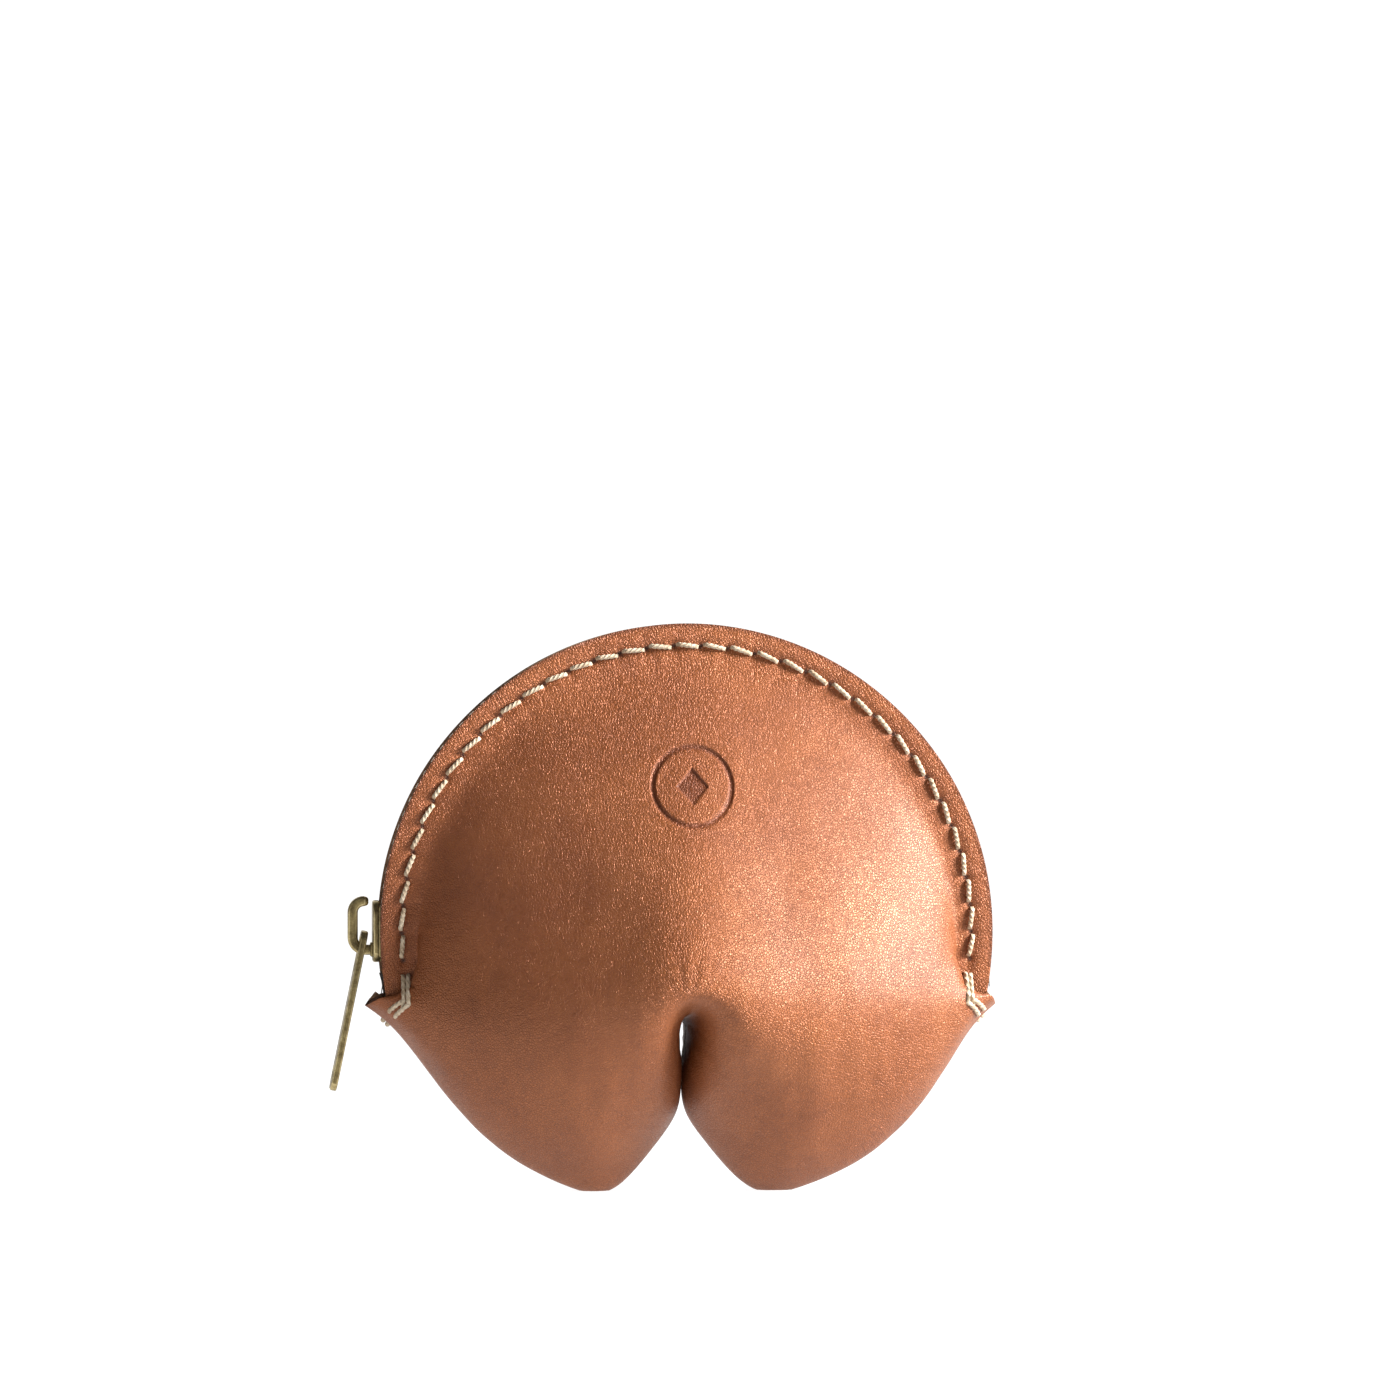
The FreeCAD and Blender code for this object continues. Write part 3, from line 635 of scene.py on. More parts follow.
# One line per column, from the middle to the right ear, in millimetres and degrees:
# seam x, y, z; belly x, z; rim angle; fullness between the seam and the belly; and how far both
# twins of the seam point sit to the right, because the fold is a little uneven.
COLUMNS = [
    (0.0, 0.0, 30.2, 0.0, 35.2, 0.0, 0.9, -0.7),
    (1.1, 0.0, 27.2, 4.2, 34.6, 5.0, 0.9, -0.7),
    (-0.05, 0.0, 22.0, 8.6, 33.0, 11.0, 1.0, -0.7),
    (-0.05, 0.0, 17.0, 12.6, 31.2, 18.0, 1.0, -0.7),
    (0.5, 0.0, 12.6, 16.4, 29.8, 26.0, 0.9, -0.7),
    (4.6, 0.0, 7.4, 20.0, 28.8, 35.0, 0.75, -0.6),
    (9.6, 0.0, 1.2, 23.6, 28.2, 45.0, 0.6, -0.5),
    (14.2, -0.3, -1.2, 27.2, 28.0, 55.0, 0.55, -0.3),
    (20.0, -0.8, 0.4, 31.0, 28.3, 64.0, 0.6, 0.2),
    (29.3, -1.8, 4.6, 35.4, 29.0, 73.0, 0.75, 0.6),
    (37.5, -2.4, 11.6, 40.0, 30.0, 81.0, 0.85, 0.5),
    (43.8, -2.2, 20.2, 44.6, 31.4, 89.0, 0.9, 0.2),
    (49.0, -1.2, 28.0, 48.8, 32.6, 96.5, 0.9, -0.3),
    (53.5, -0.4, 31.4, 51.6, 33.2, 102.5, 0.9, -0.7),
]


def on_rim(radius, angle, depth=0.0):
    """Point round the rim's centre; angle in radians from the top, right positive."""
    return Vector((radius * math.sin(angle), depth, RIM_Z + radius * math.cos(angle)))


def round_rim(angle):
    """Turn about the rim's axis, in radians; right positive."""
    centre = Matrix.Translation((0, 0, RIM_Z))
    return centre @ Matrix.Rotation(angle, 4, "Y") @ centre.inverted()


def seam_inward(columns, i):
    """Direction from the seam into the pouch."""
    before = columns[max(i - 1, 0)]
    after = columns[min(i + 1, len(columns) - 1)]
    return Vector((before[2] - after[2], 0, after[0] - before[0])).normalized()


def column_points(columns, i, side):
    """One column of the cage, from the turned-in allowance to the rim; side -1 is the front."""
    seam_x, seam_y, seam_z, belly_x, belly_z, angle, fullness, shift = columns[i]
    seam = Vector((seam_x + shift, seam_y, seam_z)) * MM
    allowance = seam_inward(columns, i) * SEAM_ALLOWANCE * MM
    gap = Vector((0, side * 0.05 * MM, 0))
    share = 1 - min(abs(belly_x) / COLUMNS[-1][3], 1) ** 1.6
    least = RIM_HALF + 0.6 * MM
    depth = side * (least + (NOSE_DEPTH - least) * share)
    belly = Vector((belly_x * MM, depth, belly_z * MM))
    bend = side * min(1.8 * MM, 0.3 * abs(depth - seam.y))
    points = [seam + gap + allowance, seam + gap + allowance * 0.55, seam + gap]
    points.append(seam + Vector((0, bend, 0)))
    for step in (22.0, 45.0, 67.0):
        turn = math.radians(step)
        rise = fullness * (1 - math.cos(turn)) + (1 - fullness) * step / 90
        reach = fullness * math.sin(turn) + (1 - fullness) * step / 90
        point = seam + (belly - seam) * rise
        point.y = seam.y + (belly.y - seam.y) * reach
        points.append(point)
    points.append(belly)
    band = [on_rim(radius * MM, math.radians(angle), side * RIM_HALF) for radius in RIM_BAND]
    for step in (0.28, 0.56, 0.82):
        point = belly.lerp(band[0], step)
        point.y += side * 2.2 * MM * step * (1 - step)
        points.append(point)
    return points + band


def panel_cage(side):
    """All the columns of one panel, from the left ear to the right ear."""
    left = [(-c[0], c[1], c[2], -c[3], c[4], -c[5], *c[6:]) for c in COLUMNS[:0:-1]]
    columns = left + COLUMNS
    return [column_points(columns, i, side) for i in range(len(columns))]


# %% Panel from a grid
def leather_sheet(name, side):
    """A grid bent to the cage and smoothed, with its grain side outwards."""
    cage = panel_cage(side)
    across = len(cage) - 1
    up = len(cage[0]) - 1
    start_clean()
    bpy.ops.mesh.primitive_grid_add(x_subdivisions=across, y_subdivisions=up, size=2)
    piece = active_piece(name)
    for vertex in piece.data.vertices:
        i = round((vertex.co.x + 1) / 2 * across)
        j = round((vertex.co.y + 1) / 2 * up)
        vertex.co = cage[i][j]
    if side > 0:
        edit(piece)
        bpy.ops.mesh.select_all(action="SELECT")
        bpy.ops.mesh.flip_normals()
        done_editing()
    use_modifier(piece, "SUBSURF", levels=3, render_levels=3, boundary_smooth="PRESERVE_CORNERS")
    return piece


front = leather_sheet("front_leather", -1)
back = leather_sheet("back_leather", 1)
face = min(front.data.polygons, key=lambda f: (f.center - Vector((0, -0.02, 0.06))).length)
print("front normal", [round(c, 2) for c in face.normal], len(front.data.vertices), "points")

# %% [markdown]
# ## The hand of the leather
# A moulded panel is never quite even. Its face rolls gently, it is drawn into small radial
# puckers round the top of the notch, where the seam pulls hardest, and the thread pulls a groove
# into the rim with a dimple at every needle hole. These are moved as points, like soft sculpting,
# because they change the outline and not only the shading.

# %% Puckers, rolls and the stitch groove
STITCH_TURN = STITCH_PITCH / STITCH_RADIUS
NOTCH_TOP = Vector((-0.7, 0, 30)) * MM
RELIEF_RADIUS = 43 * MM
RELIEF_ANGLE = math.radians(101)
GROOVE_DEPTH = 0.16
HOLE_DEPTH = 0.34
SWELL_DEPTH = 0.06
SHOULDER_RISE = 0.08


def bell(distance, width):
    """Smooth hump: 1 at nothing, fading over a width."""
    return math.exp(-(distance / width) ** 2)


def rim_relief(point):
    """Depth of the stitch groove and its dimples, and the swell between the holes."""
    up = point.z - RIM_Z
    radius = math.hypot(point.x, up)
    angle = math.atan2(point.x, up)
    if radius < RELIEF_RADIUS or abs(angle) > RELIEF_ANGLE:
        return 0.0
    line = radius - STITCH_RADIUS
    off_hole = (angle / STITCH_TURN) % 1.0 - 0.5
    hole = bell(math.hypot(line, off_hole * STITCH_PITCH), 0.75 * MM)
    groove = bell(line, 0.8 * MM)
    shoulder = bell(line - 1.9 * MM, 0.9 * MM) + bell(line + 2.0 * MM, 1.1 * MM)
    swell = math.cos(2 * math.pi * off_hole)
    return (-GROOVE_DEPTH * groove - HOLE_DEPTH * hole - SWELL_DEPTH * shoulder * swell
            + SHOULDER_RISE * shoulder) * MM


def fold_relief(point):
    """Puckers that run out from the top of the notch, and lines down the lobes."""
    reach = math.hypot(point.x - NOTCH_TOP.x, (point.z - NOTCH_TOP.z) * 0.8)
    spoke = math.atan2(point.z - NOTCH_TOP.z, point.x - NOTCH_TOP.x)
    ripple = math.sin(23 * spoke + 2.5 * noise.noise(point / (6 * MM)))
    pucker = ripple * bell(reach - 6 * MM, 3.5 * MM) * min(1.0, reach / (3 * MM))
    lobe = bell(point.z - 20 * MM, 13 * MM)
    pulled = Vector((point.x / (3.2 * MM), point.y / (9 * MM), point.z / (16 * MM)))
    return (0.09 * pucker + 0.26 * lobe * noise.noise(pulled)) * MM


def roll_relief(point):
    """Slow unevenness of the whole panel."""
    slow = noise.noise(point / (26 * MM))
    quick = noise.noise(point / (9 * MM) + Vector((7, 3, 1)))
    return (0.45 * slow + 0.14 * quick) * MM


def hand_worked(piece, seed):
    """Move every point of a panel along its own normal."""
    shift = Vector((seed * 0.13, 0, seed * 0.07))
    moves = []
    for vertex in piece.data.vertices:
        point = vertex.co.copy()
        radius = math.hypot(point.x, point.z - RIM_Z)
        keep = 1 - 0.85 * bell(radius - 50 * MM, 5 * MM)
        seam = min(1.0, abs(point.y) / (5 * MM))
        amount = roll_relief(point + shift) * keep * seam
        amount += rim_relief(point) + fold_relief(point + shift * 0.01) * seam
        moves.append(point + vertex.normal * amount)
    for vertex, place in zip(piece.data.vertices, moves):
        vertex.co = place
    piece.data.update()


for piece, seed in ((front, 0), (back, 1)):
    hand_worked(piece, seed)
print("panels worked:", [round(c / MM, 1) for c in front.dimensions])

# %% [markdown]
# ## Leather thickness and the stamp
# Solidify gives the hide its 1.4 mm, with the flesh side inside and raw fibre on the cut edge.
# No point may go below the table, so the feet are flat. The front is stamped with a plain ring
# round a diamond. A stamp presses the surface down, so the faces round it are divided finely,
# their points pushed in, and the edges eased by a little smoothing.

# %% Leather thickness
for piece in (front, back):
    wear(piece, LEATHER, FLESH, CUT_EDGE)
    use_modifier(piece, "SOLIDIFY", thickness=LEATHER_THICK, offset=-1.0, use_rim=True,
                 material_offset=1, material_offset_rim=2)
    soften(piece, 0.22, 62, 2)
    for vertex in piece.data.vertices:
        vertex.co.z = max(vertex.co.z, 0.0)


# %% Stamp
STAMP_DEPTH = 0.34
STAMP_MARGIN = 3.4 * MM
STAMP_CUTS = 3


def stamp_depth(point):
    """How far the ring and the diamond press in at a place on the front."""
    up = point.z - EMBLEM_Z
    reach = math.hypot(point.x, up)
    ring = (EMBLEM_LINE / 2 - abs(reach - EMBLEM_RADIUS)) / (0.22 * MM)
    diamond = (DIAMOND_HALF - (abs(point.x) * DIAMOND_SLIM + abs(up))) / (0.3 * MM)
    share = max(0.0, min(1.0, max(ring, diamond)))
    return STAMP_DEPTH * MM * share * share * (3 - 2 * share)


def on_stamp(centre, normal):
    """Faces of the grain side round the stamp."""
    reach = math.hypot(centre.x, centre.z - EMBLEM_Z)
    return centre.y < 0 and normal.y < -0.1 and reach < EMBLEM_RADIUS + STAMP_MARGIN


edit(front)
select_faces(front, on_stamp)
for _ in range(STAMP_CUTS):
    bpy.ops.mesh.subdivide(number_cuts=1)
done_editing()
front.data.update()
facing = [v.index for v in front.data.vertices if v.co.y < 0 and v.normal.y < -0.1]
pressed = 0
for index in facing:
    vertex = front.data.vertices[index]
    depth = stamp_depth(vertex.co)
    vertex.co.y += depth
    pressed += depth > 0
edit(front)
select_faces(front, on_stamp)
bpy.ops.mesh.vertices_smooth(factor=0.5, repeat=2)
done_editing()
print("stamp:", pressed, "points pressed;", len(front.data.polygons), "faces")
for piece in (front, back):
    smooth(piece, 55)
    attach(piece, "pouch")
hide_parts("front_panel")
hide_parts("back_panel")

# %% [markdown]
# ## Stitches
# Saddle stitching in thick waxed thread: each stitch is a short hump that dives into a needle
# hole at both ends. A curve with a bevel would be round and lifeless, so one stitch is extruded
# from a three-lobed section and turned a little at each step, as the plies of real thread lie.
# Then it is copied to each place, which a ray finds on the leather.

# %% One twisted stitch
THREAD_RADIUS = 0.37 * MM
THREAD_TURN = math.radians(32.0)


def twisted_thread(name, length, steps):
    """Three-ply thread along X, arched upwards, with both ends bent down."""
    start_clean()
    bpy.ops.mesh.primitive_circle_add(vertices=12, radius=THREAD_RADIUS, fill_type="NGON",
                                      location=(-length / 2, 0, 0), rotation=(0, math.pi / 2, 0))
    piece = active_piece(name)
    place_in_mesh(piece)
    for vertex in piece.data.vertices:
        around = math.atan2(vertex.co.y, vertex.co.z)
        lobed = 1 + 0.17 * math.cos(3 * around)
        vertex.co.y *= lobed
        vertex.co.z *= lobed
    edit(piece)
    bpy.ops.mesh.select_all(action="SELECT")
    for k in range(steps):
        step = length / steps
        draw_out(step, 0, 0)
        middle = (-length / 2 + (k + 1) * step, 0, 0)
        bpy.ops.transform.rotate(value=THREAD_TURN, orient_axis="X", center_override=middle)
    bpy.ops.mesh.select_all(action="SELECT")
    bpy.ops.mesh.normals_make_consistent(inside=False)
    done_editing()
    for vertex in piece.data.vertices:
        share = abs(vertex.co.x) / (length / 2)
        taper = 1 - 0.25 * share ** 4
        vertex.co.y *= taper
        vertex.co.z *= taper
        vertex.co.z += (0.30 * (1 - share ** 2) - 1.0 * max(0.0, share - 0.72) ** 2 / 0.078) * MM
    return piece


def standing_on(origin, along, out):
    """Matrix that lays a local X along a direction and turns local Z outwards."""
    x = along.normalized()
    z = (out - x * out.dot(x)).normalized()
    return Matrix.Translation(origin) @ Matrix((x, z.cross(x), z)).transposed().to_4x4()


def leather_at(piece, x, z, side):
    """Place and normal where a ray from outside meets a panel; side -1 is the front."""
    hit, place, normal, _ = piece.ray_cast(Vector((x, side * 0.1, z)), Vector((0, -side, 0)))
    if not hit:
        raise ValueError(f"no leather at {x}, {z}")
    return place, normal


one_stitch = twisted_thread("one_stitch", 4.1 * MM, 18)
print("one stitch:", len(one_stitch.data.polygons), "faces")


# %% Stitches round the rim
LAST_STITCH = 17


def rim_thread(panel, side, name):
    """A copy of the stitch at each place on the stitch line."""
    stitches = []
    for k in range(-LAST_STITCH, LAST_STITCH + 1):
        angle = k * STITCH_TURN
        middle = on_rim(STITCH_RADIUS, angle)
        place, normal = leather_at(panel, middle.x, middle.z, side)
        slant = 0.16 + 0.07 * noise.noise(Vector((k * 1.7, side, 0.3)))
        along = Vector((math.cos(angle + slant), 0, -math.sin(angle + slant)))
        stitch = copy_piece(one_stitch, f"{name}_{k + LAST_STITCH}")
        lift = 0.24 + 0.05 * noise.noise(Vector((k * 0.9, side * 3, 2)))
        stitch.data.transform(standing_on(place + normal * lift * MM, along, normal))
        stitches.append(stitch)
    thread = join(stitches, name)
    wear(thread, THREAD)
    smooth(thread, 60)
    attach(thread, "pouch")
    return thread


front_thread = rim_thread(front, -1, "front_rim_thread")
back_thread = rim_thread(back, 1, "back_rim_thread")
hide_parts("front_stitching")
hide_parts("back_stitching")
print("rim threads:", len(front_thread.data.polygons), "faces each")

# %% [markdown]
# ## End tacks
# Where the rim ends, the maker took a doubled stitch up the rim, a slanted pair below it and a
# pair over the folded edge. The same stitch is stretched between two places for each.

# %% End tacks
STRAND_LENGTH = 3.4 * MM
# Ends of the strands on each panel, as (x, z) in millimetres: the upright pair, then the slanted.
TACK_STRANDS = (((47.1, 36.9), (47.2, 32.4)), ((48.1, 36.7), (48.1, 32.3)),
                ((47.2, 31.9), (49.3, 29.7)), ((48.2, 32.4), (50.3, 30.6)))
# Where the pair lies under the seam's edge, as (x, z) in millimetres; the left ear sits lower.
WRAP_PLACES = {1: ((49.9, 28.85), (50.6, 29.6)), -1: ((50.2, 28.5), (50.95, 29.2))}
WRAP_HALF = 1.5


def strand_between(first, last, out, name):
    """The stitch, made as long as the gap between two places."""
    strand = copy_piece(one_stitch, name)
    longer = (last - first).length / STRAND_LENGTH
    strand.data.transform(Matrix.Diagonal((longer, 1, 1, 1)))
    strand.data.transform(standing_on((first + last) / 2, last - first, out))
    return strand


def end_tack(mirror, name):
    """Upright, slanted and wrapped pairs at one end of the rim; mirror -1 is the left."""
    strands = []
    for panel, side in ((front, -1), (back, 1)):
        for k, ends in enumerate(TACK_STRANDS):
            (first, out), (last, _) = [leather_at(panel, mirror * x * MM, z * MM, side)
                                       for x, z in ends]
            lift = out * 0.25 * MM
            strands.append(strand_between(first + lift, last + lift, out, f"{name}_{side}_{k}"))
    for k, (x, z) in enumerate(WRAP_PLACES[mirror]):
        ends = [Vector((mirror * x, y, z)) * MM for y in (-WRAP_HALF, WRAP_HALF)]
        out = Vector((mirror * 0.6, 0, -0.8))
        strands.append(strand_between(*ends, out, f"{name}_wrap_{k}"))
    tack = join(strands, name)
    wear(tack, THREAD)
    smooth(tack, 60)
    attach(tack, "pouch")
    return tack


left_tack = end_tack(-1, "left_tack_thread")
right_tack = end_tack(1, "right_tack_thread")
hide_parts("left_end_tack")
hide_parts("right_end_tack")
throw_away(one_stitch)
print("tacks:", len(left_tack.data.polygons), "faces each")

# %% [markdown]
# ## Zip tapes
# Each tape is sewn inside its rim and turned in towards the teeth, so its section is an L. The
# section is a small square with two of its edges drawn out, and spinning it about the rim's
# centre sweeps it round the rim in one go.

# %% Zip tapes
TAPE_THICK = 0.6 * MM
TAPE_Y = 3.9
TAPE_RADIUS = 50.3
TAPE_FACE = 2.6
TAPE_LEG = 8.5
TAPE_TURN = 101.5
TAPE_STEPS = 150
YARNS = 28


def frayed_ends(side):
    """Short loose yarns at both cut ends of a tape, each leaning its own way."""
    start_clean()
    bpy.ops.mesh.primitive_cylinder_add(vertices=6, radius=0.09 * MM, depth=2.4 * MM)
    yarn = active_piece("yarn")
    yarns = []
    for k in range(YARNS):
        end = -1 if k % 2 else 1
        chance = [noise.noise(Vector((k * 1.37, side * 2.1, c * 5.3))) for c in range(4)]
        lean = Matrix.Rotation(1.3 * chance[0], 4, "X") @ Matrix.Rotation(
            math.radians(90) + 0.9 * chance[1], 4, "Y")
        place = Matrix.Translation((0, side * (2.5 + 2.6 * chance[2]) * MM,
                                    RIM_Z + (51.5 + 1.6 * chance[3]) * MM))
        turn = round_rim(math.radians(end * (99.6 + 1.5 * chance[1])))
        copy = copy_piece(yarn, f"yarn_{side}_{k}")
        copy.data.transform(turn @ place @ lean)
        yarns.append(copy)
    throw_away(yarn)
    return yarns


def turned_tape(name, side):
    """L section spun round the rim, with frayed ends."""
    start_clean()
    fold = (0, side * TAPE_Y * MM, RIM_Z + TAPE_RADIUS * MM)
    bpy.ops.mesh.primitive_plane_add(size=TAPE_THICK, location=fold, rotation=(0, math.pi / 2, 0))
    piece = active_piece(name)
    place_in_mesh(piece)
    edit(piece)
    inner = (TAPE_Y - 0.25) * MM
    under = RIM_Z + (TAPE_RADIUS - 0.25) * MM
    select_edges(piece, lambda at, _: abs(at.y) < inner)
    face = (0, -side * TAPE_FACE * MM, 0)
    bpy.ops.mesh.extrude_edges_move(TRANSFORM_OT_translate={"value": face})
    select_edges(piece, lambda at, _: at.z < under and abs(at.y) > inner)
    bpy.ops.mesh.extrude_edges_move(TRANSFORM_OT_translate={"value": (0, 0, -TAPE_LEG * MM)})
    bpy.ops.mesh.select_mode(type="FACE")
    bpy.ops.mesh.select_all(action="SELECT")
    bpy.ops.transform.rotate(value=math.radians(TAPE_TURN), orient_axis="Y",
                             center_override=(0, 0, RIM_Z))
    bpy.ops.mesh.spin(steps=TAPE_STEPS, angle=math.radians(-2 * TAPE_TURN),
                      center=(0, 0, RIM_Z), axis=(0, 1, 0))
    weld()
    done_editing()
    piece = join([piece, *frayed_ends(side)], name)
    wear(piece, TAPE)
    smooth(piece, 35)
    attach(piece, "pouch")
    return piece


front_tape = turned_tape("front_woven_tape", -1)
back_tape = turned_tape("back_woven_tape", 1)
print("tapes:", [round(c / MM, 1) for c in front_tape.dimensions])
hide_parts("front_tape")
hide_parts("back_tape")

# %% [markdown]
# ## Teeth
# Each tooth is a brass staple clamped on the tape's edge, with a rounded head that reaches past
# the middle, between two teeth of the other row. One is modelled and copied round the rim. It is
# small and there are more than a hundred, so it stays at a few dozen faces.

# %% Teeth
TOOTH_TURN = 2.5 / 50.0
LAST_TOOTH = 33


def zip_tooth(side):
    """One tooth at the top of the rim."""
    start_clean()
    bpy.ops.mesh.primitive_cube_add(size=1, location=(0, side * 1.4 * MM, RIM_Z + 50.3 * MM),
                                    scale=(1.1 * MM, 2.2 * MM, 2.5 * MM))
    piece = active_piece("zip_tooth")
    place_in_mesh(piece)
    edit(piece)
    select_faces(piece, lambda centre, normal: normal.y * side < -0.9)
    draw_out(0, -side * 0.55 * MM, 0)
    bpy.ops.transform.resize(value=(0.8, 1, 0.86))
    draw_out(0, -side * 0.5 * MM, 0)
    bpy.ops.transform.resize(value=(0.62, 1, 0.7))
    done_editing()
    soften(piece, 0.17, 40, 2)
    return piece


def zip_row(side, shift, last, name):
    """Copies of the tooth, one every pitch."""
    tooth = zip_tooth(side)
    row = []
    for k in range(-LAST_TOOTH, last + 1):
        copy = copy_piece(tooth, f"{name}_{k + LAST_TOOTH}")
        copy.data.transform(round_rim((k + shift) * TOOTH_TURN))
        row.append(copy)
    throw_away(tooth)
    joined = join(row, name)
    wear(joined, TOOTH_BRASS)
    smooth(joined, 40)
    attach(joined, "pouch")
    return joined


front_row = zip_row(-1, 0.0, LAST_TOOTH, "front_zip_teeth")
back_row = zip_row(1, 0.5, LAST_TOOTH - 1, "back_zip_teeth")
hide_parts("front_teeth")
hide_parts("back_teeth")
print("teeth:", len(front_row.data.polygons) // (2 * LAST_TOOTH + 1), "faces each")

# %% [markdown]
# ## Stops
# Small clamps pinched on the tape keep the slider from running off. Each is a bar with rounded
# edges, pressed a little thinner in its middle.

# %% Stops
STOP_RADIUS = 51.12


def zip_stop(name, angle, low, high, node):
    """Bar from low to high across the tape, at an angle round the rim."""
    start_clean()
    middle = (0, (low + high) / 2 * MM, RIM_Z + STOP_RADIUS * MM)
    bpy.ops.mesh.primitive_cube_add(size=1, location=middle,
                                    scale=(1.4 * MM, (high - low) * MM, 0.94 * MM))
    piece = active_piece(name)
    place_in_mesh(piece)
    edit(piece)
    select_faces(piece, lambda centre, normal: normal.z > 0.9)
    bpy.ops.mesh.inset(thickness=0.22 * MM, depth=-0.12 * MM)
    done_editing()
    soften(piece, 0.12, 40, 2)
    piece.data.transform(round_rim(math.radians(angle)))
    wear(piece, TOOTH_BRASS)
    smooth(piece, 40)
    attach(piece, "pouch")
    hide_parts(node)


zip_stop("front_brass_stop", -98, -2.4, -0.3, "front_top_stop")
zip_stop("back_brass_stop", -98, 0.3, 2.4, "back_top_stop")
zip_stop("bottom_brass_stop", 98, -2.4, 2.4, "bottom_stop")
print("three stops")

# %% [markdown]
# ## Slider
# A cast slider: two plates joined at the nose, lips that hold the teeth, and an open hook that
# carries the pull. It is built lying flat at the top of the rim, where its own directions are
# the world's, and turned round to its place at the end. The hook is one section drawn up,
# spun round two corners and drawn down, which keeps its thickness even.

# %% Slider plates
def block(name, low, high, base=0.0):
    """Plain block between two corners given in millimetres, raised by a base height."""
    start_clean()
    size = [(b - a) * MM for a, b in zip(low, high)]
    middle = [(a + b) / 2 * MM for a, b in zip(low, high)]
    middle[2] += base
    bpy.ops.mesh.primitive_cube_add(size=1, location=middle, scale=size)
    piece = active_piece(name)
    place_in_mesh(piece)
    return piece


def round_box(name, low, high, corner, rim):
    """Block at the top of the rim with rounded upright corners and softened edges."""
    piece = block(name, low, high, RIM_Z)
    if corner:
        round_edges_along(piece, 2, corner, 6)
    soften(piece, rim, 50, 3)
    return piece


slider_parts = [
    round_box("upper_plate", (-5.2, -3.4, 51.75), (5.2, 3.4, 52.9), 2.1, 0.3),
    round_box("lower_plate", (-5.2, -3.4, 47.4), (5.2, 3.4, 48.55), 2.1, 0.3),
    round_box("nose_block", (-5.1, -0.16, 48.2), (-3.4, 0.16, 52.2), 0, 0.05),
    round_box("saddle", (-4.3, -1.6, 52.7), (-1.9, 1.6, 53.3), 0.5, 0.18),
]
for side in (-1, 1):
    low, high = sorted((side * 2.6, side * 3.4))
    slider_parts.append(round_box("upper_lip", (-4.3, low, 50.8), (4.3, high, 51.9), 0.25, 0.12))
    slider_parts.append(round_box("lower_lip", (-4.3, low, 48.4), (4.3, high, 49.55), 0.25, 0.12))
print(len(slider_parts), "slider parts")


# %% Slider hook
# Sizes in millimetres: the section, and how far it rises, runs along the slider and drops.
HOOK_SECTION = (1.7, 2.2)
HOOK_RISE = 1.6
HOOK_RUN = 4.3
HOOK_DROP = 0.8


def at_top(x, radius):
    """Place above the rim's centre, at a radius in millimetres."""
    return x * MM, 0, RIM_Z + radius * MM


def bent_corner(x, radius):
    """Spin the selected section a quarter turn about a place."""
    bpy.ops.mesh.spin(steps=8, angle=math.radians(-90), axis=(0, 1, 0), center=at_top(x, radius))


def slider_hook():
    """One section drawn and spun into an open C."""
    start_clean()
    bpy.ops.mesh.primitive_plane_add(size=1, location=at_top(-3.15, 52.6))
    piece = active_piece("hook")
    piece.scale = (HOOK_SECTION[0] * MM, HOOK_SECTION[1] * MM, 1)
    bpy.ops.object.transform_apply(location=True, rotation=False, scale=True)
    edit(piece)
    bpy.ops.mesh.select_mode(type="FACE")
    bpy.ops.mesh.select_all(action="SELECT")
    draw_out(0, 0, HOOK_RISE * MM)
    bent_corner(-1.1, 54.2)
    draw_out(HOOK_RUN * MM, 0, 0)
    bent_corner(3.2, 54.4)
    draw_out(0, 0, -HOOK_DROP * MM)
    bpy.ops.transform.resize(value=(0.75, 0.85, 1))
    weld()
    done_editing()
    soften(piece, 0.38, 50, 3)
    return piece


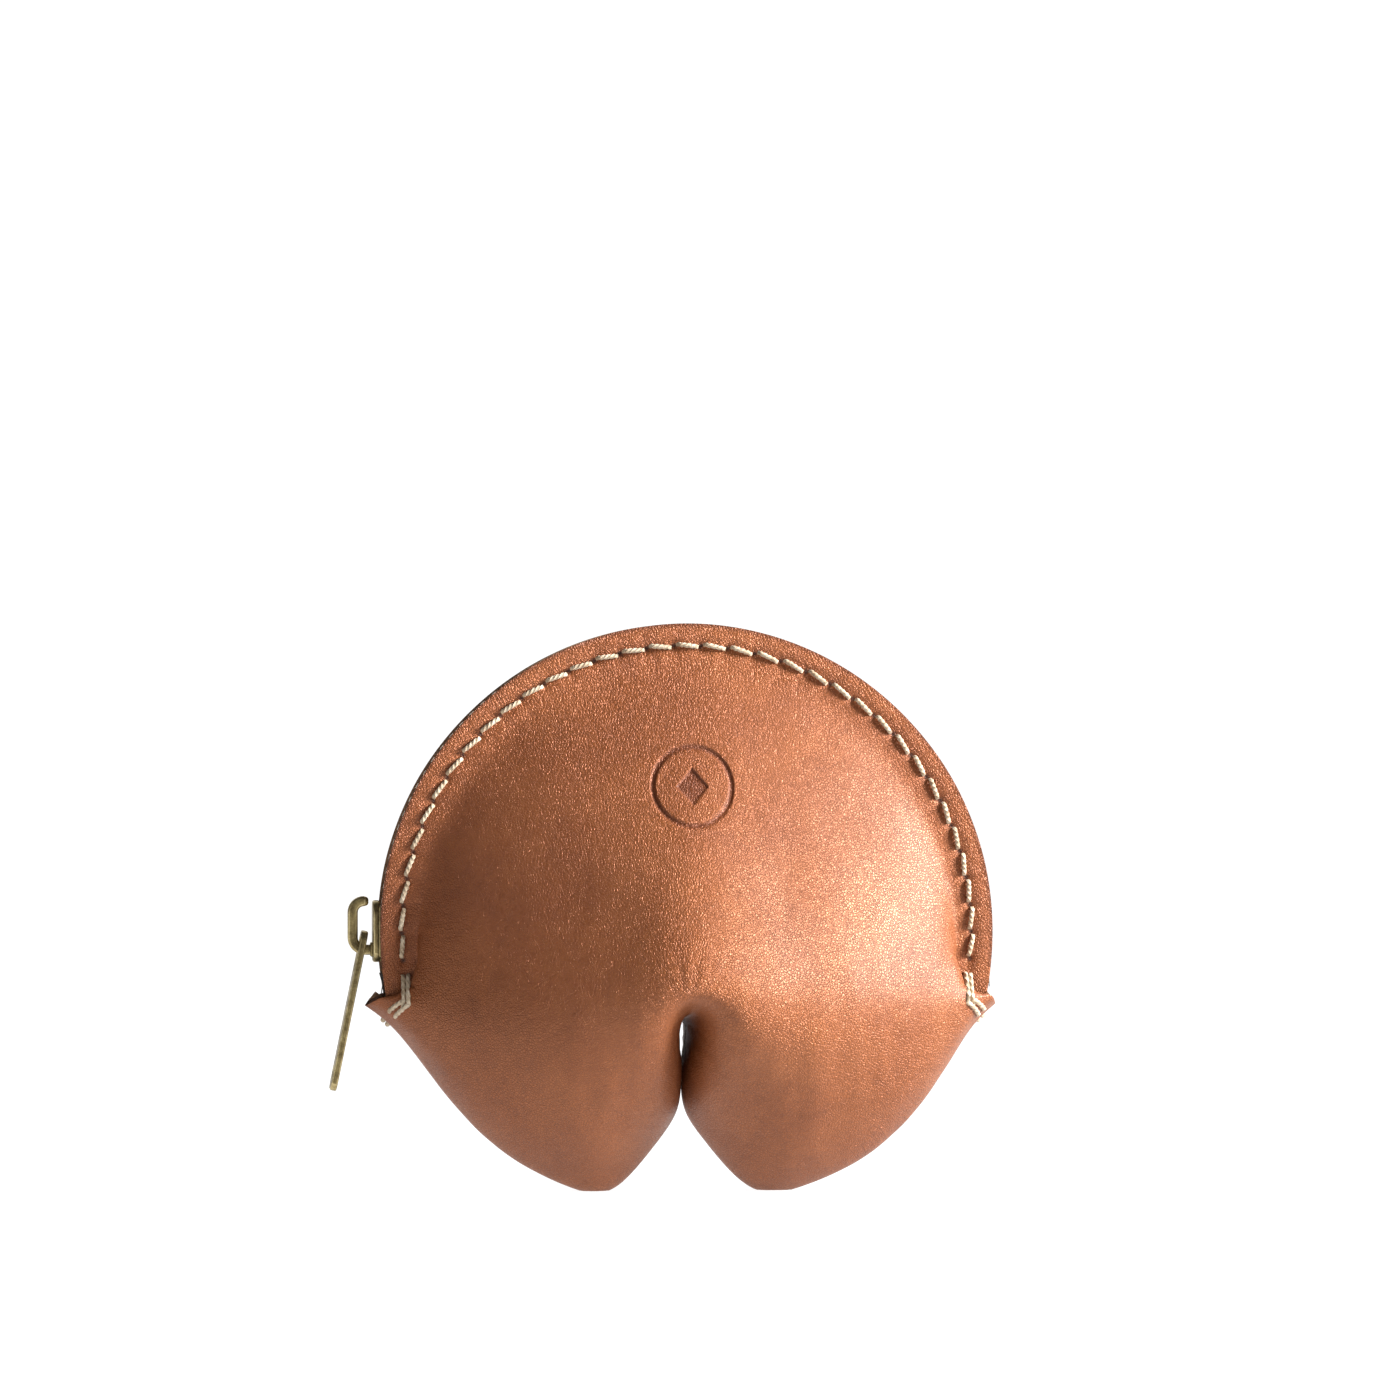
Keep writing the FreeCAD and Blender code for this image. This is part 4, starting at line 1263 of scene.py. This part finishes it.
FLAT_FACE = 0.985


def rubbed(piece):
    """Give the softened edges the second, brighter finish."""
    wear(piece, DARK_BRASS, RUBBED_BRASS)
    for face in piece.data.polygons:
        face.material_index = 0 if max(abs(c) for c in face.normal) > FLAT_FACE else 1


slider_parts.append(slider_hook())
slider = join(slider_parts, "slider_casting")
rubbed(slider)
slider.data.transform(round_rim(math.radians(-90)))
smooth(slider, 40)
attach(slider, "slider")
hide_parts("slider_body")
print("slider:", len(slider.data.polygons), "faces")

# %% [markdown]
# ## Pull
# A stamped brass tag: a slot under a round crossbar hooks into the slider, and a small hole near
# the free end takes a cord or a leather tassel. The outline is a box with rounded corners, and
# the openings are cut with booleans, which leave clean walls in a plate this thin.

# %% Pull
PULL_PIVOT = Vector((-54.3, 0, 43.5)) * MM
PULL_LEAN = math.radians(11.5)


def rounded_plate(name, low, high, corner):
    """Block with its edges along X rounded, for the plate and for its slot."""
    piece = block(name, low, high)
    round_edges_along(piece, 0, corner, 7)
    return piece


def cut_out(piece, tool):
    """Cut a tool out of a piece and throw the tool away."""
    use_modifier(piece, "BOOLEAN", operation="DIFFERENCE", object=tool, solver="EXACT")
    throw_away(tool)


def brass_pull():
    """Hangs straight down from the origin, then leans out on its pivot."""
    plate = rounded_plate("brass_pull", (-0.55, -3.3, -26.85), (0.55, 3.3, 0.55), 1.6)
    cut_out(plate, rounded_plate("slot_cutter", (-2, -1.45, -6.75), (2, 1.45, -0.55), 0.9))
    start_clean()
    bpy.ops.mesh.primitive_cylinder_add(vertices=28, radius=1.2 * MM, depth=6 * MM,
                                        location=(0, 0, -23.85 * MM), rotation=(0, math.pi / 2, 0))
    hole = active_piece("hole_cutter")
    place_in_mesh(hole)
    cut_out(plate, hole)
    soften(plate, 0.24, 50, 3)
    return plate


pull = brass_pull()
rubbed(pull)
pull.data.transform(Matrix.Translation(PULL_PIVOT) @ Matrix.Rotation(PULL_LEAN, 4, "Y"))
smooth(pull, 40)
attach(pull, "pull")
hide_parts("pull_tab")
